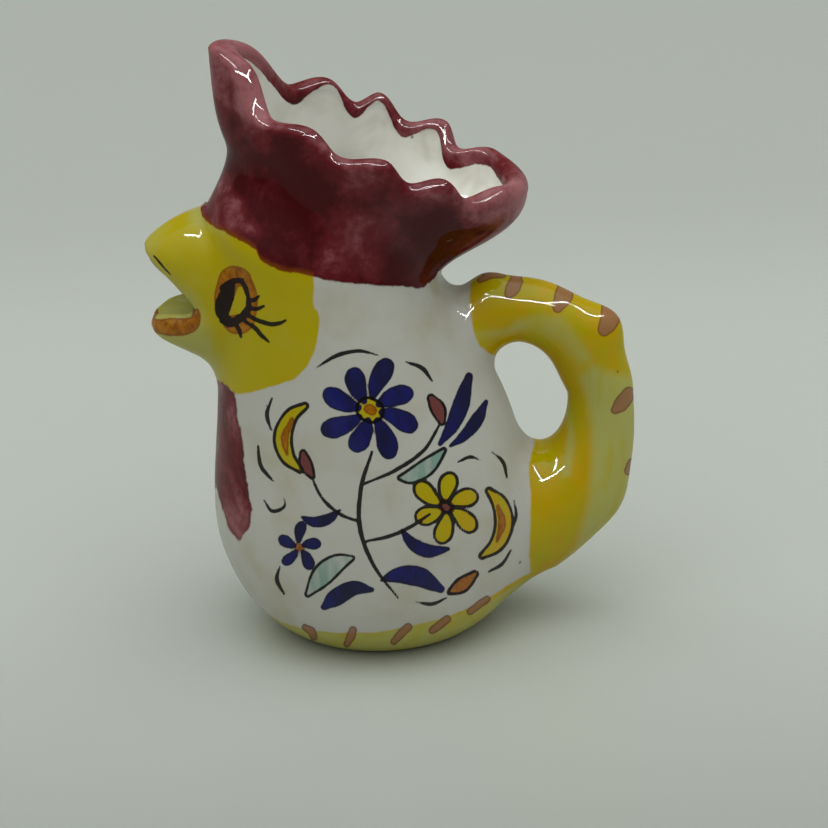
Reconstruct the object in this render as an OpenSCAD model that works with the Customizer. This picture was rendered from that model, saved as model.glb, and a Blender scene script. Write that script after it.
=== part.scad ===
// Rooster pitcher in glazed earthenware.
// A thrown body on a flat foot, a crimped comb that is the mouth, an open beak that pours
// and a horn-shaped tail that is the handle. Each is its own piece of clay, and they meet
// face to face where the potter lutes them. X runs from the beak to the tail, Z is up, and
// the origin is the centre of the face that the pitcher stands on.

/* [Foot] */
// Diameter of the flat face that the pitcher stands on
foot_d = 41; // [36:1:46]
// Diameter of the floor slab where the wall springs from it
spring_d = 55; // [52:1:58]
// Thickness of the floor slab
floor_h = 5; // [4:0.5:7]
// Radius that eases the bottom edge of the foot
foot_edge_r = 1; // [0.5:0.25:1.5]

/* [Body] */
// Thickness of the thrown wall
wall = 4; // [3:0.25:4.5]
// Length of the belly, from the chest to the tail side
belly_l = 71; // [67:1:75]
// Width of the belly, from side to side
belly_w = 70; // [66:1:76]
// Height of the widest ring of the belly
belly_z = 30; // [27:1:33]
// How far the belly's centre stands forward of the foot's centre
belly_lean = 1.2; // [0:0.1:2.5]
// Length of the neck at its joint with the comb
neck_l = 54; // [51:1:57]
// Width of the neck at its joint with the comb
neck_w = 50; // [46:1:54]
// Height of the middle of the joint with the comb
neck_z = 91; // [88:1:95]
// How far the neck's centre stands forward of the foot's centre
neck_lean = 10.5; // [8:0.5:12]
// Slope of the joint with the comb, falling towards the tail, in degrees
neck_tilt = 17; // [14:1:20]

/* [Comb] */
// Height of the rim's front above the front of the joint
comb_front_h = 32; // [28:0.5:36]
// Height of the rim's back above the back of the joint
comb_back_h = 18; // [15:0.5:21]
// How far the rim's back hangs out behind the joint
comb_overhang = 20; // [16:0.5:22]
// How far the rim's front stands back from the front of the joint
comb_set_back = 0.5; // [0:0.5:4]
// Width of the mouth over its outer edges
mouth_w = 53; // [46:1:56]
// Number of pinched teeth along each side, between the front tip and the back lobe
teeth = 3; // [2:1:5]
// Depth of the bites between the teeth
tooth_h = 3.4; // [2:0.2:6]
// How far the bites are pressed in, towards the mouth
tooth_press = 1.4; // [1:0.2:4]
// Extra height of the front tip
tip_rise = 5.4; // [2:0.2:8]
// Thickness of clay in the fold at the front tip
fold = 7; // [5:0.5:9]
// Height of the rounded lip over the wall
lip_h = 2.6; // [2:0.2:3.4]

/* [Beak] */
// How far the upper beak reaches out of the face
upper_reach = 14.5; // [12:0.5:16]
// How far the lower beak reaches out of the face
lower_reach = 14; // [11:0.5:15]
// Height of the beak's parting above the floor that the pitcher stands on
parting_z = 80; // [77:0.5:82]
// Height of the upper beak at its root
upper_h = 20; // [18:0.5:22]
// Height of the lower beak at its root
lower_h = 18; // [15:0.5:20]
// Width of the beak at its root
beak_w = 22; // [18:0.5:26]
// Diameter of the throat, the hole that pours
throat_d = 7.6; // [6:0.2:9]

/* [Tail handle] */
// Height of the grip's top edge
grip_top_z = 80; // [76:0.5:82]
// Thickness of the grip, seen from the side
grip_t = 14.6; // [12:0.4:17]
// Width of the grip, from side to side
grip_w = 13.6; // [11:0.4:17]
// Length of the finger gap, from the body's back to the grip
finger_gap = 12; // [11:0.4:16]
// Thickness of the tail where it springs from the belly
tail_t = 31; // [27:1:35]
// Width of the tail where it springs from the belly
tail_w = 26; // [20:1:30]
// Height of the middle of the tail where it springs from the belly
tail_z = 25; // [23:0.5:27]

/* [Hidden] */

// How finely each piece is drawn
body_sides = 64;
body_rings = 9;
comb_sides = 112;
comb_rings = 9;
lip_rings = 4;
horn_sides = 32;
horn_rings = 28;
beak_sides = 32;
beak_rings = 12;

// ---------- curves ----------

function mix(a, b, t) = a + (b - a) * t;
function unit(v) = v / norm(v);
function clamp(t) = min(1, max(0, t));
function smooth(t) = let (s = clamp(t)) s * s * (3 - 2 * s);
function angles(n) = [for (i = [0:n - 1]) 360 * i / n];

// A cubic Bezier curve through p[0] and p[3]
function bezier(p, t) =
    let (s = 1 - t)
    s * s * s * p[0] + 3 * s * s * t * p[1] + 3 * s * t * t * p[2] + t * t * t * p[3];

// One point of a ring that spans the points f and b of the middle plane, each [x, z], at
// half width w. Angle 0 is at b, 180 at f and 90 at the far side.
function ring_point(f, b, w, a) =
    let (m = (f + b) / 2, h = (b - f) / 2)
    [m.x + h.x * cos(a), w * sin(a), m.y + h.y * cos(a)];

// ---------- body ----------

neck_half = neck_l / 2 * [cos(neck_tilt), -sin(neck_tilt)];
neck_f = [-neck_lean, neck_z] - neck_half;
neck_b = [-neck_lean, neck_z] + neck_half;
belly_f = [-belly_l / 2 - belly_lean, belly_z];
belly_b = [belly_l / 2 - belly_lean, belly_z];
low = belly_z - floor_h;
high_f = neck_f.y - belly_z;
high_b = neck_b.y - belly_z;

// Front outline, back outline and half width, from the floor (v = 0) over the belly
// (v = 1) to the neck (v = 2)
function body_front(v) = v < 1
    ? bezier([[-spring_d / 2, floor_h], [-spring_d / 2 - 0.2 * low, floor_h + 0.2 * low],
        belly_f - [0, 0.5 * low], belly_f], v)
    : bezier([belly_f, belly_f + [0, 0.32 * high_f], neck_f + [4.3, -0.36 * high_f], neck_f], v - 1);
function body_back(v) = v < 1
    ? bezier([[spring_d / 2, floor_h], [spring_d / 2 + 0.2 * low, floor_h + 0.2 * low],
        belly_b - [0, 0.5 * low], belly_b], v)
    : bezier([belly_b, belly_b + [-1.5, 0.36 * high_b], neck_b + [9, -0.34 * high_b], neck_b], v - 1);
function body_half_w(v) = v < 1
    ? bezier([spring_d / 2, spring_d / 2 + 0.22 * low, belly_w / 2, belly_w / 2], v)
    : bezier([belly_w / 2, belly_w / 2, mix(belly_w, neck_w, 0.75) / 2, neck_w / 2], v - 1);

function body_ring(v, inset = 0) =
    let (f = body_front(v), b = body_back(v), along = inset * unit(b - f))
    [for (a = angles(body_sides)) ring_point(f + along, b - along, body_half_w(v) - inset, a)];

// The wall is as thick square to the outline, so its rings are wider where it slants
function body_inset(v) =
    let (e = 0.02, step = body_front(v + e) - body_front(v - e))
    wall * min(1.5, norm(step) / abs(step.y));

body_levels = [for (i = [0:2 * body_rings]) i / body_rings];
function backwards(list) = [for (i = [len(list) - 1:-1:0]) list[i]];
body_outside = [for (v = body_levels) body_ring(v)];
body_inside = [for (v = backwards(body_levels)) body_ring(v, body_inset(min(1.95, max(0.05, v))))];

// ---------- comb ----------

rim_f = neck_f + [comb_set_back, comb_front_h];
rim_b = neck_b + [comb_overhang, comb_back_h];
front_share = 0.5;
keel_share = 0.25;
side_sag = 0.5;
front_raise = 0.7;
tip_length = [0.13, 0.22];
back_lobe_rise = 0.09;
// Places of bites and teeth along the mouth, from the first bite to the last, for the near
// side and the far side
bite_places = [
    [0.18, 0.31, 0.42, 0.553, 0.653, 0.745, 0.852],
    [0.23, 0.363, 0.475, 0.543, 0.654, 0.757, 0.83],
];

// Front outline, back outline and half width, from the joint (t = 0) to the rim (t = 1)
function comb_front(t) = bezier([neck_f, neck_f + [12.5, 0.68 * comb_front_h],
    rim_f + [1.4, -0.58 * comb_front_h], rim_f], t);
function comb_back(t) = bezier([neck_b, neck_b + [0.15 * comb_overhang, 0.33 * comb_back_h],
    rim_b + [-0.05 * comb_overhang, -0.6 * comb_back_h], rim_b], t);
function comb_half_w(t) = bezier([neck_w / 2, neck_w / 2 - 3, mouth_w / 2 - 1, mouth_w / 2], t);

// How far along the mouth an angle lies, from 0 at the front tip to 1 at the back
function along_mouth(a) = (1 + cos(a)) / 2;

// Depth of the bite between two teeth, 0 on a tooth and 1 in a bite
function bite(a) =
    let (u = along_mouth(a), places = bite_places[sin(a) > 0 ? 1 : 0], last = len(places) - 1,
        turns = u < places[0] ? 0.5 * u / places[0]
            : u < places[last] ? 0.5 + teeth * lookup(u, [for (i = [0:last]) [places[i], i / last]])
            : 0.5 + teeth + 0.5 * clamp((u - places[last]) / back_lobe_rise))
    pow(sin(180 * turns), 2);

// Share of the full width that the comb keeps at angle a. Its front is pinched to a fold,
// and half way up its back is drawn in to a keel.
function pinch(t, a) =
    1 - t * front_share * pow(1 - along_mouth(a), 3) - 4 * t * (1 - t) * keel_share * pow(along_mouth(a), 3);

// A point of the comb at height t from the joint to the rim, on its outside (inset = 0) or
// its inside (inset = 1)
function comb_point(t, a, inset = 0) =
    let (f = comb_front(t), b = comb_back(t), across = unit(b - f),
        front_in = inset * mix(wall, fold, t), back_in = inset * wall * mix(1, 1.35, smooth(2 * t)),
        half_w = comb_half_w(t) - inset * wall,
        p = ring_point(f + front_in * across, b - back_in * across, half_w * pinch(t, a), a),
        grow = smooth((t - 0.35) / 0.65),
        press = tooth_press * grow * bite(a),
        tip = 1 - smooth((along_mouth(a) - 0.05) / tip_length[sin(a) > 0 ? 1 : 0]),
        rise = front_raise * smooth(2 * (1 - along_mouth(a))) - side_sag * pow(sin(a), 2),
        lift = grow * grow * (tip_rise * tip + rise - tooth_h * bite(a)))
    p - press * [cos(a), sin(a), 0] + lift * [-across.y, 0, across.x];

function comb_ring(t, inset = 0) = [for (a = angles(comb_sides)) comb_point(t, a, inset)];

// The rounded lip, which swings from the outer edge of the rim (s = 0) to the inner (s = 180)
function lip_ring(s) =
    let (across = unit(rim_b - rim_f))
    [for (a = angles(comb_sides))
        mix(comb_point(1, a), comb_point(1, a, 1), (1 - cos(s)) / 2) + lip_h * sin(s) * [-across.y, 0, across.x]];

comb_levels = [for (i = [0:comb_rings]) i / comb_rings];
comb_outside = [for (t = comb_levels) comb_ring(t)];
comb_lip = [for (i = [1:lip_rings]) lip_ring(180 * i / (lip_rings + 1))];
comb_inside = [for (t = backwards(comb_levels)) comb_ring(t, 1)];

// ---------- beak ----------

root_x = neck_f.x + 1.2;
root_depth = 8;
throat_run = 11;
beak_tip_w = 9.5;
cheek_flare = 4.5;
scoop_slope = 32;
scoop_depth = 4;
brow_drop = 4;
brow_back = 2.5;
brow_ease = 0.6;
parting_back = [8, 7];
chin_reach = 12;
chin_back = 2;
chin_rise = 8;

// A ring of a beak whose top and bottom outlines run from the root (t = 0) to one tip (t = 1)
function beak_ring(top, bottom, t) =
    let (w = mix(beak_w, beak_tip_w, t) / 2 * sqrt(1 - pow(t, 3)) + cheek_flare * pow(1 - t, 3))
    [for (a = angles(beak_sides)) ring_point(bezier(bottom, t), bezier(top, t), w, a)];

// The rings crowd towards the tip, which they round off
function beak_rings_of(top, bottom) =
    [for (i = [0:beak_rings]) beak_ring(top, bottom, 0.995 * sin(90 * i / beak_rings))];

// ---------- tail handle ----------

grip_x = body_back(1.3).x + finger_gap + grip_t / 2;
grip_mid = [grip_x, 0.66 * grip_top_z];
horn_top = [neck_b.x + 2, grip_top_z - grip_t + 1];
horn_end = [body_back(1).x - 9, tail_z - 2];

// Middle line of the horn, from inside the neck over the grip (t = 1) to inside the belly
function horn_path(t) = t < 1
    ? bezier([horn_top, horn_top + [19, 18], [grip_mid.x, grip_mid.y + 10.2], grip_mid], t)
    : bezier([grip_mid, grip_mid - [0, 14.4], horn_end + [22.4, 5.2], horn_end], t - 1);

// How far the horn has swelled from the grip towards the tail
function horn_swell(t) = pow(clamp((t - 1) / 0.85), 1.6);
function horn_flare(t) = 3 * pow(1 - clamp(t / 0.35), 2);

// Bumps of the hand-worked clay along the horn, each [height, place, spread]: on the back the
// knuckle near the neck, the soft corner over the grip and the shoulder of the tail, and on the
// finger side the fuller top of the grip
back_bumps = [[1.65, 0.2, 0.06], [3.3, 0.673, 0.1], [1.3, 1.535, 0.12]];
finger_bumps = [[0.9, 0.807, 0.17]];
function bumps(all, t) = [for (b = all) b[0] * exp(-pow((t - b[1]) / b[2], 2))] * [for (b = all) 1];

function horn_ring(t) =
    let (c = horn_path(t), d = unit(horn_path(t + 0.01) - horn_path(t - 0.01)),
        half_t = mix(grip_t, tail_t, horn_swell(t)) / 2 + horn_flare(t),
        half_w = mix(grip_w, tail_w, horn_swell(t)) / 2 + horn_flare(t),
        back = bumps(back_bumps, t), finger = bumps(finger_bumps, t))
    [for (a = angles(horn_sides))
        let (reach = half_t + mix(finger, back, smooth((1 - cos(a)) / 2)))
        [c.x + d.y * reach * cos(a), half_w * sin(a), c.y - d.x * reach * cos(a)]];

// ---------- drawing ----------

// Triangles between each ring of n points and the next, where ring m is ring 0 again
function side_faces(n, m, strips) = [for (i = [0:strips - 1]) each [for (j = [0:n - 1])
    let (k = (j + 1) % n, here = i * n, next = (i + 1) % m * n)
    each [[here + j, next + k, here + k], [here + j, next + j, next + k]]]];

function centre(ring) = [for (k = [0:2]) let (v = [for (p = ring) p[k]]) (max(v) + min(v)) / 2];

// A closed solid whose skin runs through the rings, with a fan at each end
module solid_loft(rings) {
    n = len(rings[0]);
    m = len(rings);
    ends = [for (j = [0:n - 1]) let (k = (j + 1) % n)
        each [[n * m, j, k], [n * m + 1, (m - 1) * n + k, (m - 1) * n + j]]];
    polyhedron(
        [each each rings, centre(rings[0]), centre(rings[m - 1])],
        [each side_faces(n, m, m - 1), each ends]);
}

// A shell whose skin runs up the outside and down the inside, and closes on itself
module shell_loft(rings) {
    polyhedron([each each rings], side_faces(len(rings[0]), len(rings), len(rings)));
}

// Cuts its other children from its first one, as one mesh. A resize by zero keeps the size.
module carve() {
    resize([0, 0, 0])
        difference() {
            children(0);
            children([1:$children - 1]);
        }
}

// Everything inside the outer surface of body and comb, which trims the roots of beak and horn
module vessel_filled() {
    solid_loft(body_outside);
    solid_loft(comb_outside);
}

module throat() {
    translate([root_x - throat_run, 0, parting_z])
        rotate([0, 90, 0])
            cylinder(d = throat_d, h = throat_run + 3 * wall, $fn = 32);
}

// The scoop in the lower beak, which the throat runs into
module scoop() {
    translate([root_x - 0.55 * lower_reach, 0, parting_z - 0.5])
        rotate([0, -scoop_slope, 0])
            scale([0.55 * lower_reach, throat_d / 2 + 0.4, scoop_depth])
                sphere(1, $fn = 28);
}

// ---------- pieces ----------

module foot() {
    edge = [for (i = [0:6]) [foot_d / 2 - foot_edge_r * (1 - sin(15 * i)), foot_edge_r * (1 - cos(15 * i))]];
    color("ivory")
        rotate_extrude($fn = 96)
            polygon([[0, 0], each edge, [spring_d / 2, floor_h], [0, floor_h]]);
}

module body() {
    color("white")
        carve() {
            shell_loft([each body_outside, each body_inside]);
            throat();
        }
}

module comb() {
    color("mediumvioletred")
        shell_loft([each comb_outside, each comb_lip, each comb_inside]);
}

module upper_beak() {
    root = [root_x + root_depth, parting_z];
    tip = [root_x - upper_reach, parting_z + 0.5 * upper_h];
    brow = [root_x - brow_back, parting_z + upper_h - brow_ease];
    top = [root + [0, upper_h - brow_drop], brow, tip + [0, 0.28 * upper_h], tip];
    bottom = [root, [root_x - parting_back[0], parting_z], tip - [0, 0.3 * upper_h], tip];
    color("gold")
        carve() {
            solid_loft(beak_rings_of(top, bottom));
            vessel_filled();
            throat();
        }
}

module lower_beak() {
    root = [root_x + root_depth, parting_z];
    tip = [root_x - lower_reach, parting_z - 0.5 * lower_h];
    chin = [root_x - chin_back, parting_z - lower_h + chin_rise];
    top = [root, [root_x - parting_back[1], parting_z], tip + [0, 0.24 * lower_h], tip];
    bottom = [root - [0, lower_h + chin_reach], chin, tip - [0, 0.14 * lower_h], tip];
    color("gold")
        carve() {
            solid_loft(beak_rings_of(top, bottom));
            vessel_filled();
            throat();
            scoop();
        }
}

module tail_handle() {
    color("gold")
        carve() {
            solid_loft([for (i = [0:horn_rings]) horn_ring(0.02 + 1.96 * pow(i / horn_rings, 1.2))]);
            vessel_filled();
        }
}

foot();
body();
comb();
upper_beak();
lower_beak();
tail_handle();
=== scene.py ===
"""Rooster pitcher in painted tin glaze: the looks of every clay piece, its paint and the studio.

The forms are surfaces of two parameters, worked out with numpy in millimetres. The paint is
kept on the skins as signed distances to each colour's brushwork, in millimetres and positive
inside, and one shader lays the colours over the white glaze in the painter's order.
"""

from types import SimpleNamespace

import bpy
import numpy as np
from bpy.props import FloatProperty, FloatVectorProperty, IntProperty, PointerProperty
from mathutils import Matrix, Vector
from mathutils.bvhtree import BVHTree


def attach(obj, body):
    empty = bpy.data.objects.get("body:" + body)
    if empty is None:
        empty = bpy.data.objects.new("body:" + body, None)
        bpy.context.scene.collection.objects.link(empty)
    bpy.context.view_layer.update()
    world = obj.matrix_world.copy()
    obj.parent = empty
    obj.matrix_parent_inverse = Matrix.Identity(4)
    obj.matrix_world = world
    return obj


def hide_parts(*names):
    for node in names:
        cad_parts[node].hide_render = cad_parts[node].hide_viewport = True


bl_info = {
    "name": "Rooster Pitcher",
    "version": (1, 0, 0),
    "blender": (4, 5, 0),
    "location": "View3D > Sidebar > Rooster Pitcher",
    "description": "Builds a painted rooster pitcher around its clay frame",
    "category": "Add Mesh",
}

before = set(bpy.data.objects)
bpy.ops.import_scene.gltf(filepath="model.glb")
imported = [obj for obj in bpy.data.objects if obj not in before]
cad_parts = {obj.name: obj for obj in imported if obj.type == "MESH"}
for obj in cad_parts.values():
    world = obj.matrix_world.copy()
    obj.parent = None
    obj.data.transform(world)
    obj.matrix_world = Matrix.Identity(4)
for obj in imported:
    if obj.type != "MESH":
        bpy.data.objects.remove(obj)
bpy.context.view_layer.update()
MM = 0.001
TURN = 2 * np.pi

# Grids: columns round the vessel, and rows along each stretch of its skin
COLUMNS = 400
FOOT_ROWS = 16
BELLY_ROWS = 64
NECK_ROWS = 150
COMB_ROWS = 84
LIP_ROWS = 22
COMB_INSIDE_ROWS = 44
BODY_INSIDE_ROWS = 16
# The horn's sides and rows. Seams are found at more points than the grid has columns
HORN_SIDES = 160
HORN_ROWS = 260
SEAM_STEPS = 4
# The face's columns, and its rows on the skin, round the lip and inside the mouth
FACE_COLUMNS = 288
FACE_SKIN_ROWS = 60
FACE_LIP_ROWS = 12
FACE_INSIDE_ROWS = 26
# Times that a range is halved to find a level or a seam
HALVINGS = 30
# How far the flat of the foot stops short of the foot's edge, in millimetres
FOOT_EASE = 0.9

# ---------------------------------------------------------------- sizes


def setting(name, note, value, kind=FloatProperty, **more):
    """A setting of the panel with its default."""
    return kind(name=name, description=note, default=value, **more)


def length(name, note, value):
    """A size in metres whose default is given in millimetres."""
    return setting(name, note, value * MM, unit="LENGTH", precision=4)


def rotation(name, note, degrees):
    """An angle whose default is given in degrees."""
    return setting(name, note, np.radians(degrees), unit="ROTATION")


class PitcherSizes(bpy.types.PropertyGroup):
    """Sizes of the clay."""

    foot_d: length("Foot", "Diameter of the flat face that the pitcher stands on", 41)
    spring_d: length("Floor", "Diameter of the floor slab where the wall springs from it", 55)
    floor_h: length("Floor height", "Thickness of the floor slab", 5)
    wall: length("Wall", "Thickness of the thrown wall", 4)
    belly_l: length("Belly length", "Length of the belly from chest to tail", 71)
    belly_w: length("Belly width", "Width of the belly", 70)
    belly_z: length("Belly height", "Height of the widest ring of the belly", 30)
    belly_lean: length("Belly lean", "How far the belly stands forward of the foot", 1.2)
    neck_l: length("Neck length", "Length of the neck at its joint with the comb", 54)
    neck_w: length("Neck width", "Width of the neck at its joint with the comb", 50)
    neck_z: length("Neck height", "Height of the middle of the joint with the comb", 91)
    neck_lean: length("Neck lean", "How far the neck stands forward of the foot", 10.5)
    comb_front_h: length("Comb front", "Height of the rim's front above the joint", 32)
    comb_back_h: length("Comb back", "Height of the rim's back above the joint", 18)
    comb_overhang: length("Overhang", "How far the rim's back hangs out behind the joint", 20)
    comb_set_back: length("Set back", "How far the rim's front stands back from the joint", 0.5)
    mouth_w: length("Mouth", "Width of the mouth over its outer edges", 53)
    tooth_h: length("Bite depth", "Depth of the bites between the teeth", 3.4)
    tooth_press: length("Bite press", "How far the bites are pressed in", 1.4)
    tip_rise: length("Tip rise", "Extra height of the front tip", 5.4)
    fold: length("Fold", "Thickness of clay in the fold at the front tip", 7)
    lip_h: length("Lip", "Height of the rounded lip over the wall", 2.6)
    beak_z: length("Beak height", "Height of the middle of the throat", 80)
    throat_d: length("Throat", "Diameter of the hole that pours", 7.6)
    grip_top_z: length("Grip top", "Height of the grip's top edge", 80)
    grip_t: length("Grip thickness", "Thickness of the grip from the side", 14.6)
    grip_w: length("Grip width", "Width of the grip", 13.6)
    finger_gap: length("Finger gap", "Length of the finger gap", 12)
    tail_t: length("Tail thickness", "Thickness of the tail at the belly", 31)
    tail_w: length("Tail width", "Width of the tail at the belly", 26)
    tail_z: length("Tail height", "Height of the tail's middle at the belly", 25)


class PitcherCounts(bpy.types.PropertyGroup):
    """Counts and angles of the clay."""

    teeth: setting("Teeth", "Pinched teeth along each side", 3, IntProperty, min=2, max=5)
    neck_tilt: rotation(
        "Neck tilt", "Slope of the joint with the comb, falling towards the tail", 17
    )


def srgb(red, green, blue):
    """A display colour of 0 to 255 as the linear colour that a shader takes."""
    c = np.array([red, green, blue]) / 255
    return tuple(float(v) for v in np.where(c < 0.04045, c / 12.92, ((c + 0.055) / 1.055) ** 2.4))


def pigment(name, note, *display):
    """A colour whose default is given as it shows on a display."""
    rules = {"subtype": "COLOR", "min": 0, "max": 1, "size": 3}
    return setting(name, note, srgb(*display), FloatVectorProperty, **rules)


class GlazeColours(bpy.types.PropertyGroup):
    """Colours of the glaze, the paint and the clay."""

    white: pigment("White", "Tin glaze", 184, 183, 174)
    # Inside: a lighter white for the vessel's inside, painted light that lifts the shade in its
    # deep hollow
    inside: pigment("Inside", "Tin glaze inside, where it is thicker", 232, 231, 223)
    cream: pigment("Cream", "Tin glaze where it is thin or pools", 172, 166, 142)
    yellow: pigment("Yellow", "Yellow where the brush was full", 172, 157, 2)
    # Pale yellow also stands for painted light on the beak's top and in the mouth, and for painted
    # shade low on the foot
    pale_yellow: pigment("Pale yellow", "Yellow where the wash is thin", 170, 168, 90)
    gold: pigment("Gold", "Yellow where washes lie over each other", 184, 150, 0)
    plum: pigment("Plum", "Comb colour where it is thick", 66, 4, 8)
    mid_plum: pigment("Mid plum", "Comb colour over most of the comb", 98, 26, 32)
    # Pale plum also stands for painted light where the comb's rim, tip and back lobe face up to the
    # light
    pale_plum: pigment("Pale plum", "Comb colour where the wash is thin", 150, 92, 96)
    orange: pigment("Orange", "Orange of the eye and the lip", 164, 102, 6)
    deep_orange: pigment("Deep orange", "Orange where it pools", 126, 64, 2)
    brown: pigment("Brown", "Brown of the dashes", 144, 98, 68)
    deep_brown: pigment("Deep brown", "Brown where it pools", 104, 56, 34)
    turquoise: pigment("Turquoise", "Leaf wash", 112, 146, 134)
    red: pigment("Red", "Buds", 98, 22, 24)
    blue: pigment("Blue", "Cobalt where it is thin", 6, 9, 94)
    deep_blue: pigment("Deep blue", "Cobalt where it pools", 2, 3, 50)
    black: pigment("Black", "Outline colour", 12, 9, 9)
    clay: pigment("Clay", "Bare clay under the foot", 176, 132, 102)
    floor: pigment("Floor", "Floor and backdrop", 186, 190, 183)


class StudioSettings(bpy.types.PropertyGroup):
    """Camera and lamps."""

    lens: setting("Lens", "Focal length in millimetres", 193.24, min=20)
    camera_height: rotation("Elevation", "Angle of the camera over the floor", 22)
    camera_roll: rotation("Roll", "Turn of the camera about its view", -2)
    camera_distance: setting("Distance", "Camera to target", 1.0, unit="LENGTH")
    camera_target: setting(
        "Target",
        "Point that the camera looks at",
        (0.00869, 0, 0.04888),
        FloatVectorProperty,
        unit="LENGTH",
    )
    strip_power: setting("Strips", "Power of the three strip lamps", 24, min=0)
    room_light: setting("Room", "Strength of the room light from above", 1.25, min=0)


# ---------------------------------------------------------------- curves


def mix(a, b, t):
    """Straight mix of a and b."""
    return a + (b - a) * t


def smooth(t):
    """Eases from 0 to 1 while t goes from 0 to 1, as 3 t^2 - 2 t^3."""
    t = np.clip(t, 0, 1)
    return t * t * (3 - 2 * t)


def bell(t):
    """Gaussian bump, exp(-t^2)."""
    return np.exp(-np.square(t))


def unit(v):
    """Vectors along the last axis, at length 1."""
    return v / np.maximum(np.linalg.norm(v, axis=-1, keepdims=True), 1e-12)


def xyz(x, y, z):
    """Points from their coordinates, each a number or an array."""
    return np.stack(np.broadcast_arrays(x, y, z), -1)


def bezier(points, t):
    """Cubic Bezier curve through the first and last of four points or numbers, at each t."""
    p = np.array(points, float)
    t = np.asarray(t, float)
    return cubic(*p, t[..., None] if p.ndim > 1 else t)


def cubic(a, b, c, d, t):
    """Cubic Bezier curve over whole arrays of points, t from 0 at a to 1 at d."""
    k = 1 - t
    return k**3 * a + 3 * k * k * t * b + 3 * k * t * t * c + t**3 * d


def through(points, t):
    """Catmull-Rom curve through all the points, t from 0 at the first to 1 at the last.

    Between two points the cubic leaves each with half the step between that point's
    neighbours. At both ends the outer neighbour is the end point mirrored.
    """
    p = np.array(points, float)
    p = np.concatenate([2 * p[:1] - p[1:2], p, 2 * p[-1:] - p[-2:-1]])
    x = np.clip(np.asarray(t, float), 0, 1) * (len(p) - 3)
    i = np.minimum(x.astype(int), len(p) - 4)
    f = (x - i)[..., None]
    a, b, c, d = p[i], p[i + 1], p[i + 2], p[i + 3]
    return b + 0.5 * f * (c - a + f * (2 * a - 5 * b + 4 * c - d + f * (3 * (b - c) + d - a)))


def to_back(a):
    """How far back a point of a ring lies: (1 + cos a) / 2, from 0 in front to 1 at the back."""
    return (1 + np.cos(a)) / 2


def to_front(a):
    """How far forward a point of a ring lies: (1 - cos a) / 2."""
    return (1 - np.cos(a)) / 2


def ring_point(front, back, half_w, a):
    """Ellipse over the chord from front to back, both [x, z]: angle 0 is at the back and half a
    turn in front."""
    middle = (front + back) / 2
    half = (back - front) / 2
    x, z = np.moveaxis(middle + half * np.cos(a)[..., None], -1, 0)
    return xyz(x, half_w * np.sin(a), z)


# ---------------------------------------------------------------- vessel


def read_sizes():
    """All sizes in millimetres, with the outlines of the vessel that follow from them.

    front, back and half_w each hold three Bezier curves: from the floor to the belly, from
    the belly to the neck and from the neck to the rim of the comb.
    """
    group = bpy.context.scene.pitcher_sizes
    s = SimpleNamespace(**{key: getattr(group, key) / MM for key in PitcherSizes.__annotations__})
    counts = bpy.context.scene.pitcher_counts
    s.teeth, s.neck_tilt = counts.teeth, counts.neck_tilt

    def at(x, z):
        """A point or step in the middle plane."""
        return np.array([x, z], float)

    half = s.neck_l / 2 * at(np.cos(s.neck_tilt), -np.sin(s.neck_tilt))
    s.neck_f = at(-s.neck_lean, s.neck_z) - half
    s.neck_b = at(-s.neck_lean, s.neck_z) + half
    belly_f = at(-s.belly_l / 2 - s.belly_lean, s.belly_z)
    belly_b = at(s.belly_l / 2 - s.belly_lean, s.belly_z)
    s.rim_f = s.neck_f + at(s.comb_set_back, s.comb_front_h)
    s.rim_b = s.neck_b + at(s.comb_overhang, s.comb_back_h)
    low = s.belly_z - s.floor_h
    high_f = s.neck_f[1] - s.belly_z
    high_b = s.neck_b[1] - s.belly_z
    floor_f, floor_b = at(-s.spring_d / 2, s.floor_h), at(s.spring_d / 2, s.floor_h)
    s.front = [
        [floor_f, floor_f + at(-0.2 * low, 0.2 * low), belly_f - at(0, 0.5 * low), belly_f],
        [belly_f, belly_f + at(0, 0.32 * high_f), s.neck_f + at(4.3, -0.36 * high_f), s.neck_f],
        [
            s.neck_f,
            s.neck_f + at(12.5, 0.68 * s.comb_front_h),
            s.rim_f + at(1.4, -0.58 * s.comb_front_h),
            s.rim_f,
        ],
    ]
    s.back = [
        [floor_b, floor_b + at(0.2 * low, 0.2 * low), belly_b - at(0, 0.5 * low), belly_b],
        [belly_b, belly_b + at(-1.5, 0.36 * high_b), s.neck_b + at(9, -0.34 * high_b), s.neck_b],
        [
            s.neck_b,
            s.neck_b + at(0.15 * s.comb_overhang, 0.33 * s.comb_back_h),
            s.rim_b + at(-0.05 * s.comb_overhang, -0.6 * s.comb_back_h),
            s.rim_b,
        ],
    ]
    s.half_w = [
        [s.spring_d / 2, s.spring_d / 2 + 0.22 * low, s.belly_w / 2, s.belly_w / 2],
        [s.belly_w / 2, s.belly_w / 2, mix(s.belly_w, s.neck_w, 0.75) / 2, s.neck_w / 2],
        [s.neck_w / 2, s.neck_w / 2 - 3, s.mouth_w / 2 - 1, s.mouth_w / 2],
    ]
    return s


def outlines(s, h):
    """Front point, back point and half width of the ring at level h.

    Level 0 is the floor, 1 the belly, 2 the neck and 3 the rim of the comb.
    """
    h = np.asarray(h, float)
    found = []
    for curves in (s.front, s.back, s.half_w):
        low, mid, high = (bezier(c, np.clip(h - i, 0, 1)) for i, c in enumerate(curves))
        level = h if low.ndim == h.ndim else h[..., None]
        found.append(np.where(level < 1, low, np.where(level < 2, mid, high)))
    return found


# Places of bites and teeth along the mouth, from the first bite to the last
BITES_NEAR = (0.18, 0.31, 0.42, 0.553, 0.653, 0.745, 0.852)
BITES_FAR = (0.23, 0.363, 0.475, 0.543, 0.654, 0.757, 0.83)
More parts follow.
